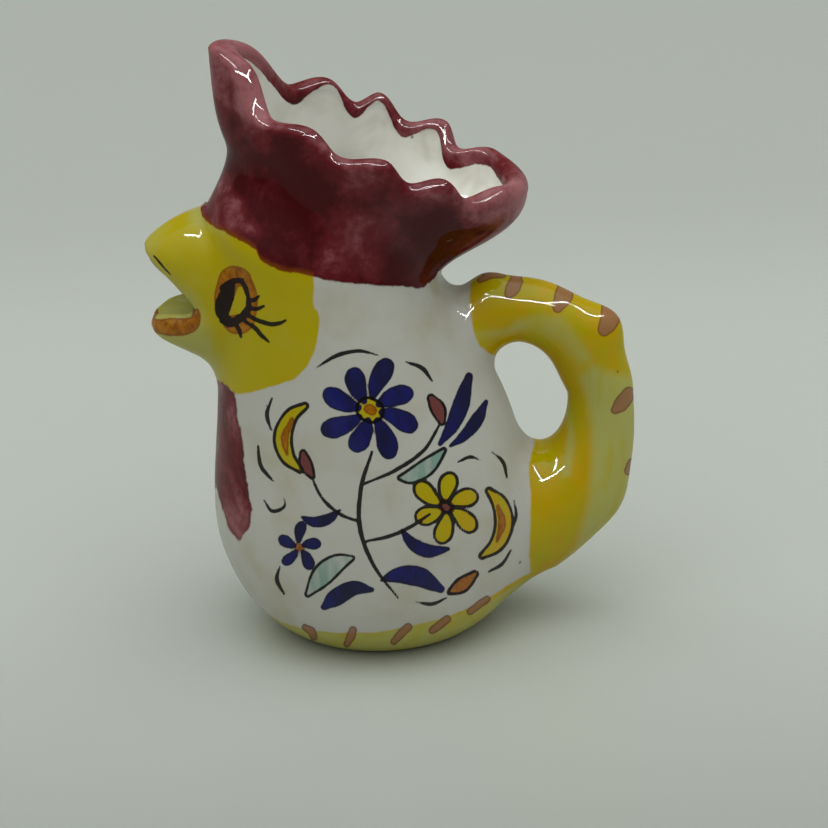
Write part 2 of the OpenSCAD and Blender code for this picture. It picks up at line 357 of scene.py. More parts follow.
# How far past the last bite the back lobe stands highest, and how long the front tip's slope
# is on the near and the far side, as shares of the mouth
BACK_LOBE = 0.09
TIP_LENGTH = (0.13, 0.22)
# How much higher the front half of the rim stands, in millimetres
FRONT_RAISE = 0.7


def bite_turns(s, u, places):
    """Half turns of the bites counted along the mouth, from the front tip over the teeth to
    the back lobe: whole numbers lie on teeth and halves in bites."""
    way = s.teeth * np.linspace(0, 1, len(places)) + 0.5
    return np.interp(u, [0, *places, places[-1] + BACK_LOBE], [0, *way, way[-1] + 0.5])


def bite(s, a):
    """Depth of the bite at angle a, 0 on a tooth and 1 in a bite: sin^2 of the half turns."""
    u = to_back(a)
    turns = np.where(np.sin(a) > 0, bite_turns(s, u, BITES_FAR), bite_turns(s, u, BITES_NEAR))
    return np.sin(np.pi * turns) ** 2


def pinch(t, u):
    """Share of its width that the comb's ring keeps at height t from joint to rim: less at the
    front (u = 0) towards the rim, and at the back (u = 1) half way up."""
    return 1 - 0.5 * t * (1 - u) ** 3 - t * (1 - t) * u**3


def comb_point(s, t, a, inset=0):
    """Point of the comb's outside (inset 0) or inside (inset 1) at height t from joint to rim.

    An ellipse over the ring's chord whose front is pinched to a fold and whose back is drawn
    to a keel. Towards the rim the bites press in and down and the front tip rises.
    """
    front, back, half_w = outlines(s, 2 + t)
    across = unit(back - front)
    up = np.stack([-across[..., 1], across[..., 0]], -1)
    u = to_back(a)
    front_in = inset * mix(s.wall, s.fold, t)
    back_in = inset * s.wall * mix(1, 1.35, smooth(2 * t))
    p = ring_point(
        front + front_in[..., None] * across if inset else front,
        back - back_in[..., None] * across if inset else back,
        (half_w - inset * s.wall) * pinch(t, u),
        a,
    )
    grow = smooth((t - 0.35) / 0.65)
    bites = bite(s, a)
    press = s.tooth_press * grow * bites
    tip = 1 - smooth((u - 0.05) / np.where(np.sin(a) > 0, TIP_LENGTH[1], TIP_LENGTH[0]))
    rise = FRONT_RAISE * smooth(2 * (1 - u)) - 0.5 * np.sin(a) ** 2
    lift = grow**2 * (s.tip_rise * tip + rise - s.tooth_h * bites)
    x = p[..., 0] - press * np.cos(a) + lift * up[..., 0]
    y = p[..., 1] - press * np.sin(a)
    z = p[..., 2] + lift * up[..., 1]
    return xyz(x, y, z)


def body_point(s, v, a):
    """Point of the body's outside at level v, 0 to 2, an ellipse over the ring's chord."""
    front, back, half_w = outlines(s, v)
    return ring_point(front, back, half_w, a)


def body_inside_point(s, v, a):
    """Point of the body's inside: the outside ring drawn in by the wall, square to the outline.

    Near the floor it is drawn in further, which rounds the corner between wall and floor.
    """
    clear = np.clip(v, 0.05, 1.95)
    step = outlines(s, clear + 0.02)[0] - outlines(s, clear - 0.02)[0]
    inset = s.wall * np.minimum(1.5, np.linalg.norm(step, axis=-1) / np.abs(step[..., 1]))
    inset = inset + 5 * np.clip(1 - v / 0.4, 0, 1) ** 2.5
    front, back, half_w = outlines(s, v)
    across = inset[..., None] * unit(back - front)
    return ring_point(front + across, back - across, half_w - inset, a)


def vessel_point(s, h, a):
    """Point of the outside at level h, 0 to 3, on the body below 2 and on the comb above."""
    h, a = np.broadcast_arrays(np.asarray(h, float), np.asarray(a, float))
    low = body_point(s, np.clip(h, 0, 2), a)
    high = comb_point(s, np.clip(h - 2, 0, 1), a)
    return np.where((h < 2)[..., None], low, high)


def vessel_params(s, points):
    """Level, angle and size of the vessel's outside at points: size is below 1 inside the clay.

    The ring whose chord passes through the point's x and z is found by halving the range of
    levels. The size is sqrt(c^2 + (y / half width)^2), with c the place along the chord.
    """
    xz = points[..., [0, 2]]
    low = np.zeros(points.shape[:-1])
    high = np.full(points.shape[:-1], 2.9)
    for _ in range(HALVINGS):
        h = (low + high) / 2
        front, back, _ = outlines(s, h)
        chord, to = back - front, xz - front
        above = chord[..., 0] * to[..., 1] - chord[..., 1] * to[..., 0] > 0
        low, high = np.where(above, h, low), np.where(above, high, h)
    front, back, half_w = outlines(s, h)
    chord = back - front
    c = 2 * np.sum((xz - front) * chord, -1) / np.sum(chord * chord, -1) - 1
    t = np.clip(h - 2, 0, 1)
    u = np.clip((1 + c) / 2, 0, 1)
    side = points[..., 1] / (half_w * pinch(t, u))
    return h, np.arctan2(side, c), np.hypot(side, c)


def vessel_normal(s, h, a):
    """Outward normal of the vessel's outside, from steps in level and angle."""
    e = 1e-3
    along = vessel_point(s, h + e, a) - vessel_point(s, h - e, a)
    round_ = vessel_point(s, h, a + e) - vessel_point(s, h, a - e)
    return unit(np.cross(round_, along))


# ---------------------------------------------------------------- joints of the clay


def wobble(points):
    """Slow unevenness of hand work: long waves of a fifth of a millimetre, none at the foot."""
    x, y, z = np.moveaxis(points, -1, 0)
    amount = 0.2 * smooth((z - 3) / 15)
    move = np.stack(
        [
            np.sin(z / 7.1 + 0.6) + 0.5 * np.sin(y / 5.3 + z / 9.7 + 2.0),
            np.sin(z / 8.3 + 2.2) + 0.5 * np.sin(x / 6.1 - z / 8.9),
            0.6 * np.sin(x / 7.7 + 1.1) + 0.4 * np.sin(y / 6.7 - x / 9.1),
        ],
        -1,
    )
    return points + amount[..., None] * move


def seam_push(normal_a, normal_b, radius):
    """Push that rounds the hollow corner between two skins: radius / 4 times the difference of
    their normals' sizes, along the mean of both normals."""
    gap = np.linalg.norm(normal_a - normal_b, axis=-1, keepdims=True)
    return radius[..., None] / 4 * gap * unit(normal_a + normal_b)


# Points that fillet takes at a time
CHUNK = 2000


def fillet(points, normals, seam, push, radius, away):
    """Rounds a skin near a seam and tilts its normals to suit.

    Each point moves by the push P of the seam points round it, times (1 - d / R)^2, with d
    its distance and R the radius. With G = -2 (1 - d / R) / R times the direction away from
    the seam along the skin, the normal N becomes the direction of (1 + G.P) N - (P.N) G. What
    lies beyond the seam, inside the other clay, takes d = 0 for its normal.
    """
    shape = points.shape
    flat, turned = points.reshape(-1, 3).copy(), normals.reshape(-1, 3).copy()
    reach = radius.max()
    within = (flat > seam.min(0) - reach) & (flat < seam.max(0) + reach)
    close = np.flatnonzero(np.all(within, -1))
    for part in np.array_split(close, max(1, len(close) // CHUNK)):
        at, n = flat[part], turned[part]
        gap = np.linalg.norm(at[:, None] - seam[None], axis=-1)
        weight = 1 / (gap**2 + 0.02) ** 3
        weight /= weight.sum(1, keepdims=True)
        size, move, leave = weight @ radius, weight @ push, weight @ away
        nearest = seam[gap.argmin(1)]
        visible = np.sum((at - nearest) * leave, -1) > 0
        far = gap.min(1) / size
        flat[part] += np.clip(1 - far, 0, 1)[:, None] ** 2 * move
        fade = -2 * np.clip(1 - np.where(visible, far, 0), 0, 1) / size
        fade = np.where(far < 1, fade, 0)
        slope = fade[:, None] * unit(leave - np.sum(leave * n, -1, keepdims=True) * n)
        across = 1 + np.sum(slope * move, -1, keepdims=True)
        turned[part] = unit(across * n - np.sum(move * n, -1, keepdims=True) * slope)
    return flat.reshape(shape), turned.reshape(shape)


def grid_normals(grid, closed):
    """Outward normals of a grid of rows by columns whose columns close, from the steps to
    the neighbours on both sides. Rows close too where closed is true."""
    round_ = np.roll(grid, -1, 1) - np.roll(grid, 1, 1)
    along = np.roll(grid, -1, 0) - np.roll(grid, 1, 0) if closed else np.gradient(grid, axis=0)
    return unit(np.cross(round_, along))


def find_seam(s, curve, inside, outside):
    """Parameter, between one inside the vessel and one outside it, at which each column of a
    curve function meets the vessel's skin, found by halving."""
    inside, outside = np.array(inside, float), np.array(outside, float)
    for _ in range(HALVINGS):
        middle = (inside + outside) / 2
        within = vessel_params(s, curve(middle))[2] < 1
        inside, outside = np.where(within, middle, inside), np.where(within, outside, middle)
    return (inside + outside) / 2


# ---------------------------------------------------------------- horn


def horn_centre(s, t):
    """Middle line of the horn in x and z, from inside the neck (t = 0) over the grip (t = 1)
    to inside the belly (t = 2): two cubic Bezier curves."""
    grip_x = outlines(s, 1.3)[1][0] + s.finger_gap + s.grip_t / 2
    grip = np.array([grip_x, 0.66 * s.grip_top_z])
    top = np.array([s.neck_b[0] + 2, s.grip_top_z - s.grip_t + 1])
    end = np.array([outlines(s, 1.0)[1][0] - 9, s.tail_z - 2])
    upper = bezier([top, top + [19, 18], grip + [0, 10.2], grip], np.clip(t, 0, 1))
    lower = bezier([grip, grip - [0, 14.4], end + [22.4, 5.2], end], np.clip(t - 1, 0, 1))
    return np.where(np.asarray(t)[..., None] < 1, upper, lower)


# Bumps of the hand-worked clay along the horn, each height, place and spread: on the back the
# knuckle near the neck, the soft corner over the grip and the shoulder of the tail, and on the
# finger side the fuller top of the grip
BACK_BUMPS = [(1.65, 0.2, 0.055), (3.3, 0.673, 0.1), (1.3, 1.535, 0.12)]
FINGER_BUMPS = [(0.9, 0.807, 0.17)]


def bumps(places, t):
    """Sum of Gaussian bumps along the horn."""
    return sum(height * bell((t - place) / spread) for height, place, spread in places)


def horn_point(s, t, a):
    """Point of the horn at t along it: an ellipse square to the middle line, at angle 0 on the
    finger side and at half a turn on the back. It swells towards the tail, and each side has
    its own bumps."""
    c = horn_centre(s, t)
    d = unit(horn_centre(s, t + 0.01) - horn_centre(s, t - 0.01))
    swell = np.clip((t - 1) / 0.85, 0, 1) ** 1.6
    flare = 2.2 * (1 - np.clip(t / 0.35, 0, 1)) ** 2
    half_t = mix(s.grip_t, s.tail_t, swell) / 2 + flare
    half_t = half_t + mix(bumps(FINGER_BUMPS, t), bumps(BACK_BUMPS, t), smooth(to_front(a)))
    half_w = mix(s.grip_w, s.tail_w, swell) / 2 + flare
    x = c[..., 0] + d[..., 1] * half_t * np.cos(a)
    z = c[..., 1] - d[..., 0] * half_t * np.cos(a)
    return xyz(x, half_w * np.sin(a), z)


# ---------------------------------------------------------------- beak

# Rows of the face at angles round the throat: 0 at the top, 180 below, in degrees. Each row
# gives the root inside the neck, two points that lead the skin and the edge of the lip.
FACE = [
    # angle, root, lead, lead, lip, each x, y, z in millimetres
    (0, (-27, 0, 99), (-38, 0, 103.3), (-51.6, 0, 92.8), (-49.5, 0, 91.1)),
    (25, (-26.5, -6.5, 98), (-37.6, -6.5, 101.3), (-50.6, -5, 91.5), (-49, -3.2, 90.4)),
    (50, (-25, -12.5, 94), (-36.5, -11.5, 95.7), (-48.2, -8.4, 89.3), (-46.7, -5.8, 88)),
    (75, (-23, -16, 87), (-34, -14.5, 87), (-43, -10.8, 85.7), (-42.7, -8, 84.1)),
    (98, (-22, -17, 79), (-32, -15.2, 80), (-39.4, -12, 80), (-38.7, -9.3, 79.2)),
    (120, (-22.3, -15.5, 71.3), (-32.7, -13.2, 74.2), (-42.4, -11, 74.9), (-41.3, -8.6, 76.6)),
    (143, (-23.2, -11.5, 61.9), (-34.1, -9.6, 70.3), (-46.9, -8.2, 70.9), (-45.4, -6.2, 75.4)),
    (162, (-25.5, -6, 55.5), (-35.4, -4.8, 68.9), (-49.5, -4.4, 68.7), (-48, -3, 73.9)),
    (180, (-28.4, 0, 52.7), (-36.2, 0, 68.5), (-50.1, 0, 68.1), (-48.8, 0, 73.4)),
]
# Size of the rolled lip, the x at which the throat takes over, and how far inside its bore
LIP_ROLL = 2.1
THROAT_X = -32.6
THROAT_CLEAR = 0.15
# Angle of the mouth's corners, at which the two beaks part
MOUTH_CORNER = 98


def face_rows(angle):
    """The face's four lines at angles round the throat, between 0 and 180 in magnitude; a
    negative angle is the far side, the near side's mirror image."""
    table = [row[1:] for row in FACE]
    known = np.array([row[0] for row in FACE], float)
    place = np.interp(np.abs(angle), known, np.linspace(0, 1, len(FACE)))
    rows = through(np.array(table).reshape(len(FACE), 12), place).reshape(*np.shape(angle), 4, 3)
    rows[..., 1] *= np.where(angle < 0, -1, 1)[..., None]
    return rows


def face_point(rows, t):
    """Outside of the face: cubic Bezier curves from the roots (t = 0) to the lip (t = 1)."""
    return cubic(*np.moveaxis(rows, -2, 0), np.asarray(t)[..., None])


def mouth_profile(s, rows, lip_rows, inside_rows):
    """The lip and the inside of the mouth, from the end of the outer skin to the throat.

    The lip is a cubic Bezier curve that bulges the way the skin arrives and turns in towards
    the middle of the mouth. The inside is another that leaves it straight back and ends on
    the throat's circle, in the clay of the neck.
    """
    back = np.array([1.0, 0, 0])
    lip, lead = rows[..., 3, :], rows[..., 2, :]
    middle = np.array([0, 0, s.beak_z + 1])
    arrive = unit(lip - lead)
    inward = unit(middle - lip * [0, 1, 1])
    inner = lip + LIP_ROLL * unit(inward + 0.35 * back)
    bulge = 0.75 * LIP_ROLL
    t = np.linspace(0, 1, lip_rows + 1)[1:, None, None]
    roll = cubic(lip, lip + bulge * arrive, inner + 0.5 * bulge * (arrive - inward), inner, t)
    round_throat = unit(lip * [0, 1, 1] - [0, 0, s.beak_z])
    throat = np.array([THROAT_X, 0, s.beak_z]) + (s.throat_d / 2 + THROAT_CLEAR) * round_throat
    depth = 0.45 * (throat[..., :1] - inner[..., :1])
    t = np.linspace(0, 1, inside_rows + 1)[1:, None, None]
    leave = inner + depth * back + 0.2 * (inner - middle) * [0, 0, 1]
    return np.concatenate([roll, cubic(inner, leave, throat - depth * back, throat, t)])


# ---------------------------------------------------------------- meshes


def quads(grid, closed_rows, closed_columns):
    """Corner numbers of a grid's faces, turned so that they face outwards."""
    rows, columns = grid.shape[:2]
    i = np.arange(rows if closed_rows else rows - 1)[:, None]
    j = np.arange(columns if closed_columns else columns - 1)[None]
    k, m = (i + 1) % rows, (j + 1) % columns
    corners = [i * columns + j, i * columns + m, k * columns + m, k * columns + j]
    return np.stack(corners, -1).reshape(-1, 4)


def read_vectors(items, name):
    """A vector for each item of a mesh's data, as the rows of an array."""
    values = np.empty(len(items) * 3, np.float32)
    items.foreach_get(name, values)
    return values.reshape(-1, 3)


def add_object(name, data):
    """An object of the scene that holds a mesh, a lamp or a camera."""
    made = bpy.data.objects.new(name, data)
    bpy.context.collection.objects.link(made)
    return made


def new_piece(name, points, faces, normals=None):
    """A mesh object from points in millimetres, smooth, with the normals it is given."""
    mesh = bpy.data.meshes.new(name)
    corners = (points.reshape(-1, 3) * MM).tolist()
    mesh.from_pydata(corners, [], [list(map(int, face)) for face in faces])
    mesh.polygons.foreach_set("use_smooth", np.ones(len(mesh.polygons), bool))
    mesh.update()
    if normals is not None:
        mesh.normals_split_custom_set_from_vertices(normals.reshape(-1, 3).tolist())
    return add_object(name, mesh)


# ---------------------------------------------------------------- clay, worked out once

clay = SimpleNamespace()

# Radii of the rounded joints in millimetres: at the neck and the belly on the horn's finger
# side and its back, on the face above and below, and between neck and comb
HORN_FILLETS = ((5.5, 4.5), (7.0, 9.0))
FACE_FILLETS = (2.4, 5.5)
COMB_FILLET = 3.0


def column_angles():
    """Angles round the vessel, closer together at both sides, where the painting is."""
    a = np.arange(COLUMNS) * TURN / COLUMNS
    return a + 0.11 * np.sin(2 * a)


def even_levels(s, start, end, count):
    """Levels whose rows lie evenly along the vessel's front outline."""
    h = np.linspace(start, end, 400)
    step = np.linalg.norm(np.diff(outlines(s, h)[0], axis=0), axis=1)
    along = np.concatenate([[0], np.cumsum(step)])
    return np.interp(np.linspace(0, along[-1], count + 1), along, h)


def vessel_grid(s):
    """The vessel's whole skin, from the edge of the foot up the outside and down the inside.

    Returns the grid and the row at which each stretch starts.
    """
    a = column_angles()[None]
    t = np.linspace(0, 1, FOOT_ROWS + 1)[:-1]
    edge = [
        (s.foot_d / 2 - FOOT_EASE, 0),
        (s.foot_d / 2 + 1.1, 0),
        (s.spring_d / 2 - 3.2, 1.9),
        (s.spring_d / 2, s.floor_h),
    ]
    r, z = bezier(edge, t).T[..., None]
    foot = xyz(r * np.cos(a), r * np.sin(a), z)
    belly, neck = even_levels(s, 0, 1, BELLY_ROWS), even_levels(s, 1, 2, NECK_ROWS)
    h = np.concatenate([belly[:-1], neck[:-1]])
    body = body_point(s, h[:, None], a)
    t = np.linspace(0, 1, COMB_ROWS + 1)[:, None]
    comb = comb_point(s, t, a)
    swing = np.linspace(0, np.pi, LIP_ROWS + 2)[1:-1, None, None]
    one = np.ones((1, 1))
    outer, inner = comb_point(s, one, a), comb_point(s, one, a, 1)
    rim = unit(s.rim_b - s.rim_f)
    up = np.array([-rim[1], 0, rim[0]])
    lip = mix(outer, inner, to_front(swing)) + s.lip_h * np.sin(swing) * up
    comb_inside = comb_point(s, np.linspace(1, 0, COMB_INSIDE_ROWS + 1)[:, None], a, 1)
    body_inside = body_inside_point(s, np.linspace(2, 0, BODY_INSIDE_ROWS + 1)[1:, None], a)
    stretches = [foot, body, comb, lip, comb_inside, body_inside]
    return np.concatenate(stretches), np.cumsum([0, *map(len, stretches)])


def round_row(grid, row, radius):
    """Rounds the crease along one row of the vessel: rows within the radius move by radius / 4
    times the sum of the two directions that leave the crease, times (1 - distance / radius)^2."""
    step, reach = 4, 24
    before = unit(grid[row - step] - grid[row])
    after = unit(grid[row + step] - grid[row])
    push = radius / 4 * (before + after)
    part = slice(row - reach, row + reach + 1)
    gap = np.linalg.norm(grid[part] - grid[row], axis=-1)
    grid[part] += push * (np.clip(1 - gap / radius, 0, 1) ** 2)[..., None]


def seam_of(s, curve, start, own, radius):
    """One seam for fillet: its points, the push, the radius, and the directions away from it
    along the vessel and along the piece whose outward normals are given."""
    points = curve(start)
    h, angle, _ = vessel_params(s, points)
    skin = vessel_normal(s, h, angle)
    lean = np.sum(skin * own, -1, keepdims=True)
    push = seam_push(skin, own, radius)
    return wobble(points), push, radius, unit(own - lean * skin), unit(skin - lean * own)


def curve_normals(curve, start, centre):
    """Normals of a tube at a closed line on it, pointing away from the centre."""
    e = 1e-3
    points = curve(start)
    along = curve(start + e) - curve(start - e)
    round_ = np.roll(points, -1, 0) - np.roll(points, 1, 0)
    own = unit(np.cross(round_, along))
    return own * np.sign(np.sum(own * (points - centre), -1))[:, None]


def work_clay():
    """Works out every skin and rounds the joints between them, for the piece operators."""
    s = read_sizes()
    grid, starts = vessel_grid(s)

    # Horn: the two seams with the vessel, then the grid between them
    fine = HORN_SIDES * SEAM_STEPS
    a = np.arange(fine) * TURN / fine

    def horn_at(t):
        """The horn's line through every side at t."""
        return horn_point(s, t, a)

    top, low = find_seam(s, horn_at, 0, 0.55), find_seam(s, horn_at, 2, 1.35)
    share = np.concatenate([[-0.02, -0.01], np.linspace(0, 1, HORN_ROWS + 1), [1.01, 1.02]])
    along = mix(top[::SEAM_STEPS], low[::SEAM_STEPS], share[:, None])
    horn = wobble(horn_point(s, along, a[None, ::SEAM_STEPS]))
    seams = []
    for start, (radius_finger, radius_back) in zip((top, low), HORN_FILLETS):
        own = curve_normals(horn_at, start, horn_at(start).mean(0))
        radius = mix(radius_finger, radius_back, to_front(a))
        seams.append(seam_of(s, horn_at, start, own, radius))

    # Face: the seam with the neck, the outer skin, the lip and the mouth
    angles = -np.linspace(-180, 180, 2 * FACE_COLUMNS, endpoint=False)
    rows = face_rows(angles)

    def face_at(t):
        """The face's line through every column at t."""
        return face_point(rows, t)

    start = find_seam(s, face_at, 0, 1)
    own = curve_normals(face_at, start, np.array([-30, 0, s.beak_z]))
    radius = mix(*FACE_FILLETS, smooth((97.5 - face_at(start)[:, 2]) / 9))
    seams.append(seam_of(s, face_at, start, own, radius))
    columns = rows[::2]
    share = np.concatenate([[-0.06, -0.03], np.linspace(0, 1, FACE_SKIN_ROWS + 1)])[:, None]
    skin = face_point(columns[None], mix(start[::2], 1, share))
    mouth = mouth_profile(s, columns, FACE_LIP_ROWS, FACE_INSIDE_ROWS)
    face = wobble(np.concatenate([skin, mouth]))

    # Joints: the comb on the neck, then horn and face on the vessel
    round_row(grid, starts[2], COMB_FILLET)
    grid = wobble(grid)
    normals = grid_normals(grid, False)
    horn_normals, face_normals = grid_normals(horn, False), grid_normals(face, False)
    for points, push, radius, along_vessel, _ in seams:
        grid, normals = fillet(grid, normals, points, push, radius, along_vessel)
    for points, push, radius, _, along_horn in seams[:2]:
        horn, horn_normals = fillet(horn, horn_normals, points, push, radius, along_horn)
    points, push, radius, _, along_face = seams[2]
    part = slice(0, len(share))
    rounded_skin = fillet(face[part], face_normals[part], points, push, radius, along_face)
    face[part], face_normals[part] = rounded_skin

    clay.sizes, clay.starts, clay.face_angle = s, starts, angles[::2]
    clay.vessel, clay.vessel_normals = grid, normals
    clay.horn, clay.horn_normals = horn, horn_normals
    clay.face, clay.face_normals = face, face_normals


# ---------------------------------------------------------------- camera and picture plane

# Sides of the picture in pixels, and the width of the camera's sensor in millimetres
PICTURE = 828
SENSOR = 36


def camera_axes():
    """Place of the camera in millimetres, its right, up and ahead directions, and its focal
    length in pixels of the picture."""
    g = bpy.context.scene.pitcher_studio
    e, r = g.camera_height, g.camera_roll
    ahead = np.array([0, np.cos(e), -np.sin(e)])
    right, up = np.array([1.0, 0, 0]), np.array([0, np.sin(e), np.cos(e)])
    right, up = right * np.cos(r) + up * np.sin(r), up * np.cos(r) - right * np.sin(r)
    place = (np.array(g.camera_target) - ahead * g.camera_distance) / MM
    return place, right, up, ahead, g.lens / SENSOR * PICTURE


def folded(points):
    """Points with the far side folded onto the near side."""
    return points * [1, 0, 1] - np.abs(points) * [0, 1, 0]


def to_picture(points):
    """Pixels at which points show to the camera, the far side folded onto the near side."""
    place, right, up, ahead, focal = camera_axes()
    to = folded(points) - place
    depth = to @ ahead
    x = PICTURE / 2 + focal * (to @ right) / depth
    y = PICTURE / 2 - focal * (to @ up) / depth
    return np.stack([x, y], -1)


# ---------------------------------------------------------------- paint

# The paints in the painter's order, and the edge of each: how far fine and coarse unevenness
# move it and how soft it is, in millimetres
EDGES = {
    "yellow": (0.5, 0.9, 0.28),
    "plum": (0.9, 1.3, 0.22),
    "brown": (0.4, 0.5, 0.16),
    "orange": (0.5, 0.5, 0.2),
    "turquoise": (0.35, 0.5, 0.18),
    "red": (0.35, 0.4, 0.15),
    "blue": (0.4, 0.5, 0.14),
    "black": (0.28, 0.25, 0.09),
}
# Millimetres to a pixel, the largest distance that is stored, how far from its ground a line
# counts, and how far outside its shape an edge is drawn
PIXEL = 0.225
FAR_OFF = 4.0
LINE_REACH = 5.0
EDGE_OUT = 0.05
# The yellow band above the foot: its height under the middle and its rise towards the tail
BAND_HEIGHT = 10
BAND_RISE = 0.11
# The washes are paler below this height, partly thin and partly painted shade that dulls the foot's
# band, and the breast patch stays forward of this x
THIN_AND_SHADED_BELOW = 12.5
WATTLE_X = -10

# Outlines of the large washes in the picture plane, in pixels
FACE_PATCH = [
    (313, 262), (313, 304), (316.5, 311), (319, 321), (316.5, 340), (309, 363), (296, 378),
    (282, 383), (269, 387.5), (256, 391), (238, 394), (229, 388), (222, 383), (200, 392),
    (120, 350), (120, 190), (205, 190), (300, 225),
]
HANDLE_PATCH = [
    (471, 269), (470, 300), (473, 332), (480, 347), (489, 353), (520, 366), (530, 424), (536, 438),
    (529, 464), (531, 510), (529, 560), (532, 600), (680, 600), (680, 269),
]
WATTLE = [
    (200, 380), (219, 380), (234, 393), (241, 430), (246, 475), (252.5, 509), (250, 526),
    (239, 542), (229, 528), (214, 482), (200, 440),
]
COMB_EDGE = [
    (150, 100), (198, 180), (201, 215.5), (210, 225), (218, 230), (229, 234), (242, 241),
    (256, 249), (260, 260), (269, 265), (282, 270), (296, 274), (309, 276), (322, 279), (335, 282),
    (360, 284), (380, 286), (409, 287), (424, 287), (436, 277), (439, 268), (442, 264), (470, 266),
    (560, 266),
]
# Where washes are thin, or below 0 thick, some as the wash lies and some painted light: amount,
# softness of the edge in millimetres, outline
WASH_AND_LIGHT_PATCHES = [
    (1.0, 1.6, [
        (592, 365), (607, 372), (620, 375), (660, 378), (660, 490), (629, 530), (603, 580),
        (563, 600), (559, 568), (576, 548), (581, 530), (590, 497), (592, 464), (592, 431),
        (587, 398), (581, 378),
    ]),
    (0.7, 1.2, [
        (484, 339), (473, 343), (473, 332), (506, 330), (517, 321), (539, 314), (563, 317),
        (572, 328), (592, 358), (581, 365), (563, 343), (535, 328), (513, 332),
    ]),
    (0.8, 0.8, [
        (563, 398), (572, 409), (575, 442), (570, 475), (562, 477), (565, 453), (568, 431),
    ]),
    (0.9, 2.4, [
        (130, 262), (150, 257), (158, 266), (170, 277), (182, 286), (194, 297), (202, 311),
        (205, 324), (210, 340), (217, 357), (221, 371), (218, 384), (190, 384), (130, 340),
    ]),
    # Painted highlights in the next three: the beak's top, and the comb's front tip and back lobe,
    # pale where they face up to the light
    (0.5, 2.0, [(130, 234), (155, 215), (168, 225), (159, 238), (152, 253), (130, 258)]),
    (0.8, 2.0, [(195, 25), (257, 42), (264, 105), (241, 109), (212, 94), (190, 94)]),
    (0.75, 2.0, [(469, 154), (540, 140), (540, 199), (502, 239), (476, 221), (465, 199)]),
    (0.7, 1.6, [(190, 200), (223, 172), (241, 199), (257, 232), (223, 232), (190, 225)]),
    (0.4, 2.5, [(315, 212), (391, 207), (404, 243), (373, 279), (324, 272)]),
    (-0.6, 1.5, [
        (268, 132), (297, 136), (324, 152), (346, 174), (335, 196), (315, 207), (284, 190),
        (268, 163),
    ]),
    (-0.6, 1.5, [
        (404, 199), (436, 201), (458, 210), (465, 225), (447, 243), (413, 239), (398, 219),
    ]),
    (-0.4, 1.5, [(230, 114), (244, 118), (264, 132), (264, 176), (246, 221), (232, 176)]),
    (0.3, 1.0, WATTLE),
    (0.4, 2.0, [(205, 505), (262, 505), (262, 560), (205, 560)]),
]
# The light in the eye, which the brush left bare, in pixels
EYE_LIGHT = [(238, 287), (242, 287), (246, 297), (246, 306), (240, 314), (228, 316), (233, 301)]


def line(colour, *points):
    """A brush line: colour, then pixels and half width in millimetres at each point."""
    return colour, np.array(points, float), 0


def shape(colour, edge, *points):
    """A brushed shape whose edge is drawn over in black, with half that line's width."""
    return colour, np.array(points, float), edge


FACE_LINES = [
    line("orange", (235, 283, 3.9), (236, 299, 4.9), (238, 317, 3.9)),
    line("orange", (151, 322, 0.8), (158, 326, 1.6), (170, 327, 2.0), (183, 327, 2.0),
         (192, 324, 1.6), (196, 318, 1.1), (196, 311, 0.6)),
    line("orange", (152, 318, 0.5), (157, 311, 0.5), (163, 305, 0.4)),
    line("black", (224, 294, 1.0), (222, 303, 1.5), (221, 312, 1.3), (226, 318, 1.2)),
    line("black", (230, 286, 1.2), (227, 297, 1.6), (224, 309, 1.6)),
    line("black", (222, 288, 0.7), (232, 282, 0.7), (241, 281, 0.6), (246, 289, 0.55),
         (248, 300, 0.6), (247, 310, 0.9), (240, 318, 1.0), (231, 323, 1.0), (223, 320, 0.9)),
    line("black", (242, 283, 0.45), (243, 279, 0.35)),
    line("black", (247, 300, 0.5), (254, 300, 0.45), (259, 296, 0.3)),
    line("black", (247, 307, 0.5), (256, 309, 0.45), (264, 306, 0.3)),
    line("black", (246, 314, 0.55), (257, 320, 0.5), (270, 324, 0.55), (280, 323, 0.45),
         (286, 320, 0.25)),
    line("black", (243, 320, 0.4), (255, 328, 0.5), (262, 336, 0.5), (269, 342, 0.25)),
    line("black", (235, 323, 0.45), (239, 330, 0.55), (241, 337, 0.3)),
    line("black", (226, 322, 0.8), (228, 326, 0.4)),
    line("black", (154, 256, 0.2), (160, 263, 0.26), (166, 270, 0.26), (171, 275, 0.15)),
]

DASHES = [
    line("brown", (480, 280, 0.6), (491, 275, 0.9), (503, 275, 0.8)),
    line("brown", (516, 281, 1.6), (513, 288, 1.7), (509, 294, 1.1)),
    line("brown", (566, 287, 1.8), (563, 297, 2.1), (558, 307, 1.3)),
    line("brown", (610, 309, 2.0), (610, 320, 2.2), (604, 330, 1.4)),
    line("brown", (629, 393, 1.4), (622, 403, 1.7), (615, 410, 1.0)),
    line("brown", (632, 462, 0.9), (628, 471, 0.9)),
    line("brown", (611, 519, 0.9), (603, 527, 1.0)),
    line("brown", (305, 627, 0.8), (311, 631, 1.0), (314, 637, 0.8)),
    line("brown", (353, 630, 0.9), (350, 638, 1.0), (347, 644, 0.8)),
    line("brown", (408, 627, 0.9), (401, 634, 1.0), (394, 641, 0.8)),
    line("brown", (447, 619, 0.9), (440, 625, 1.0), (432, 631, 0.8)),
    line("brown", (487, 599, 0.8), (479, 605, 0.9), (470, 612, 0.8)),
]


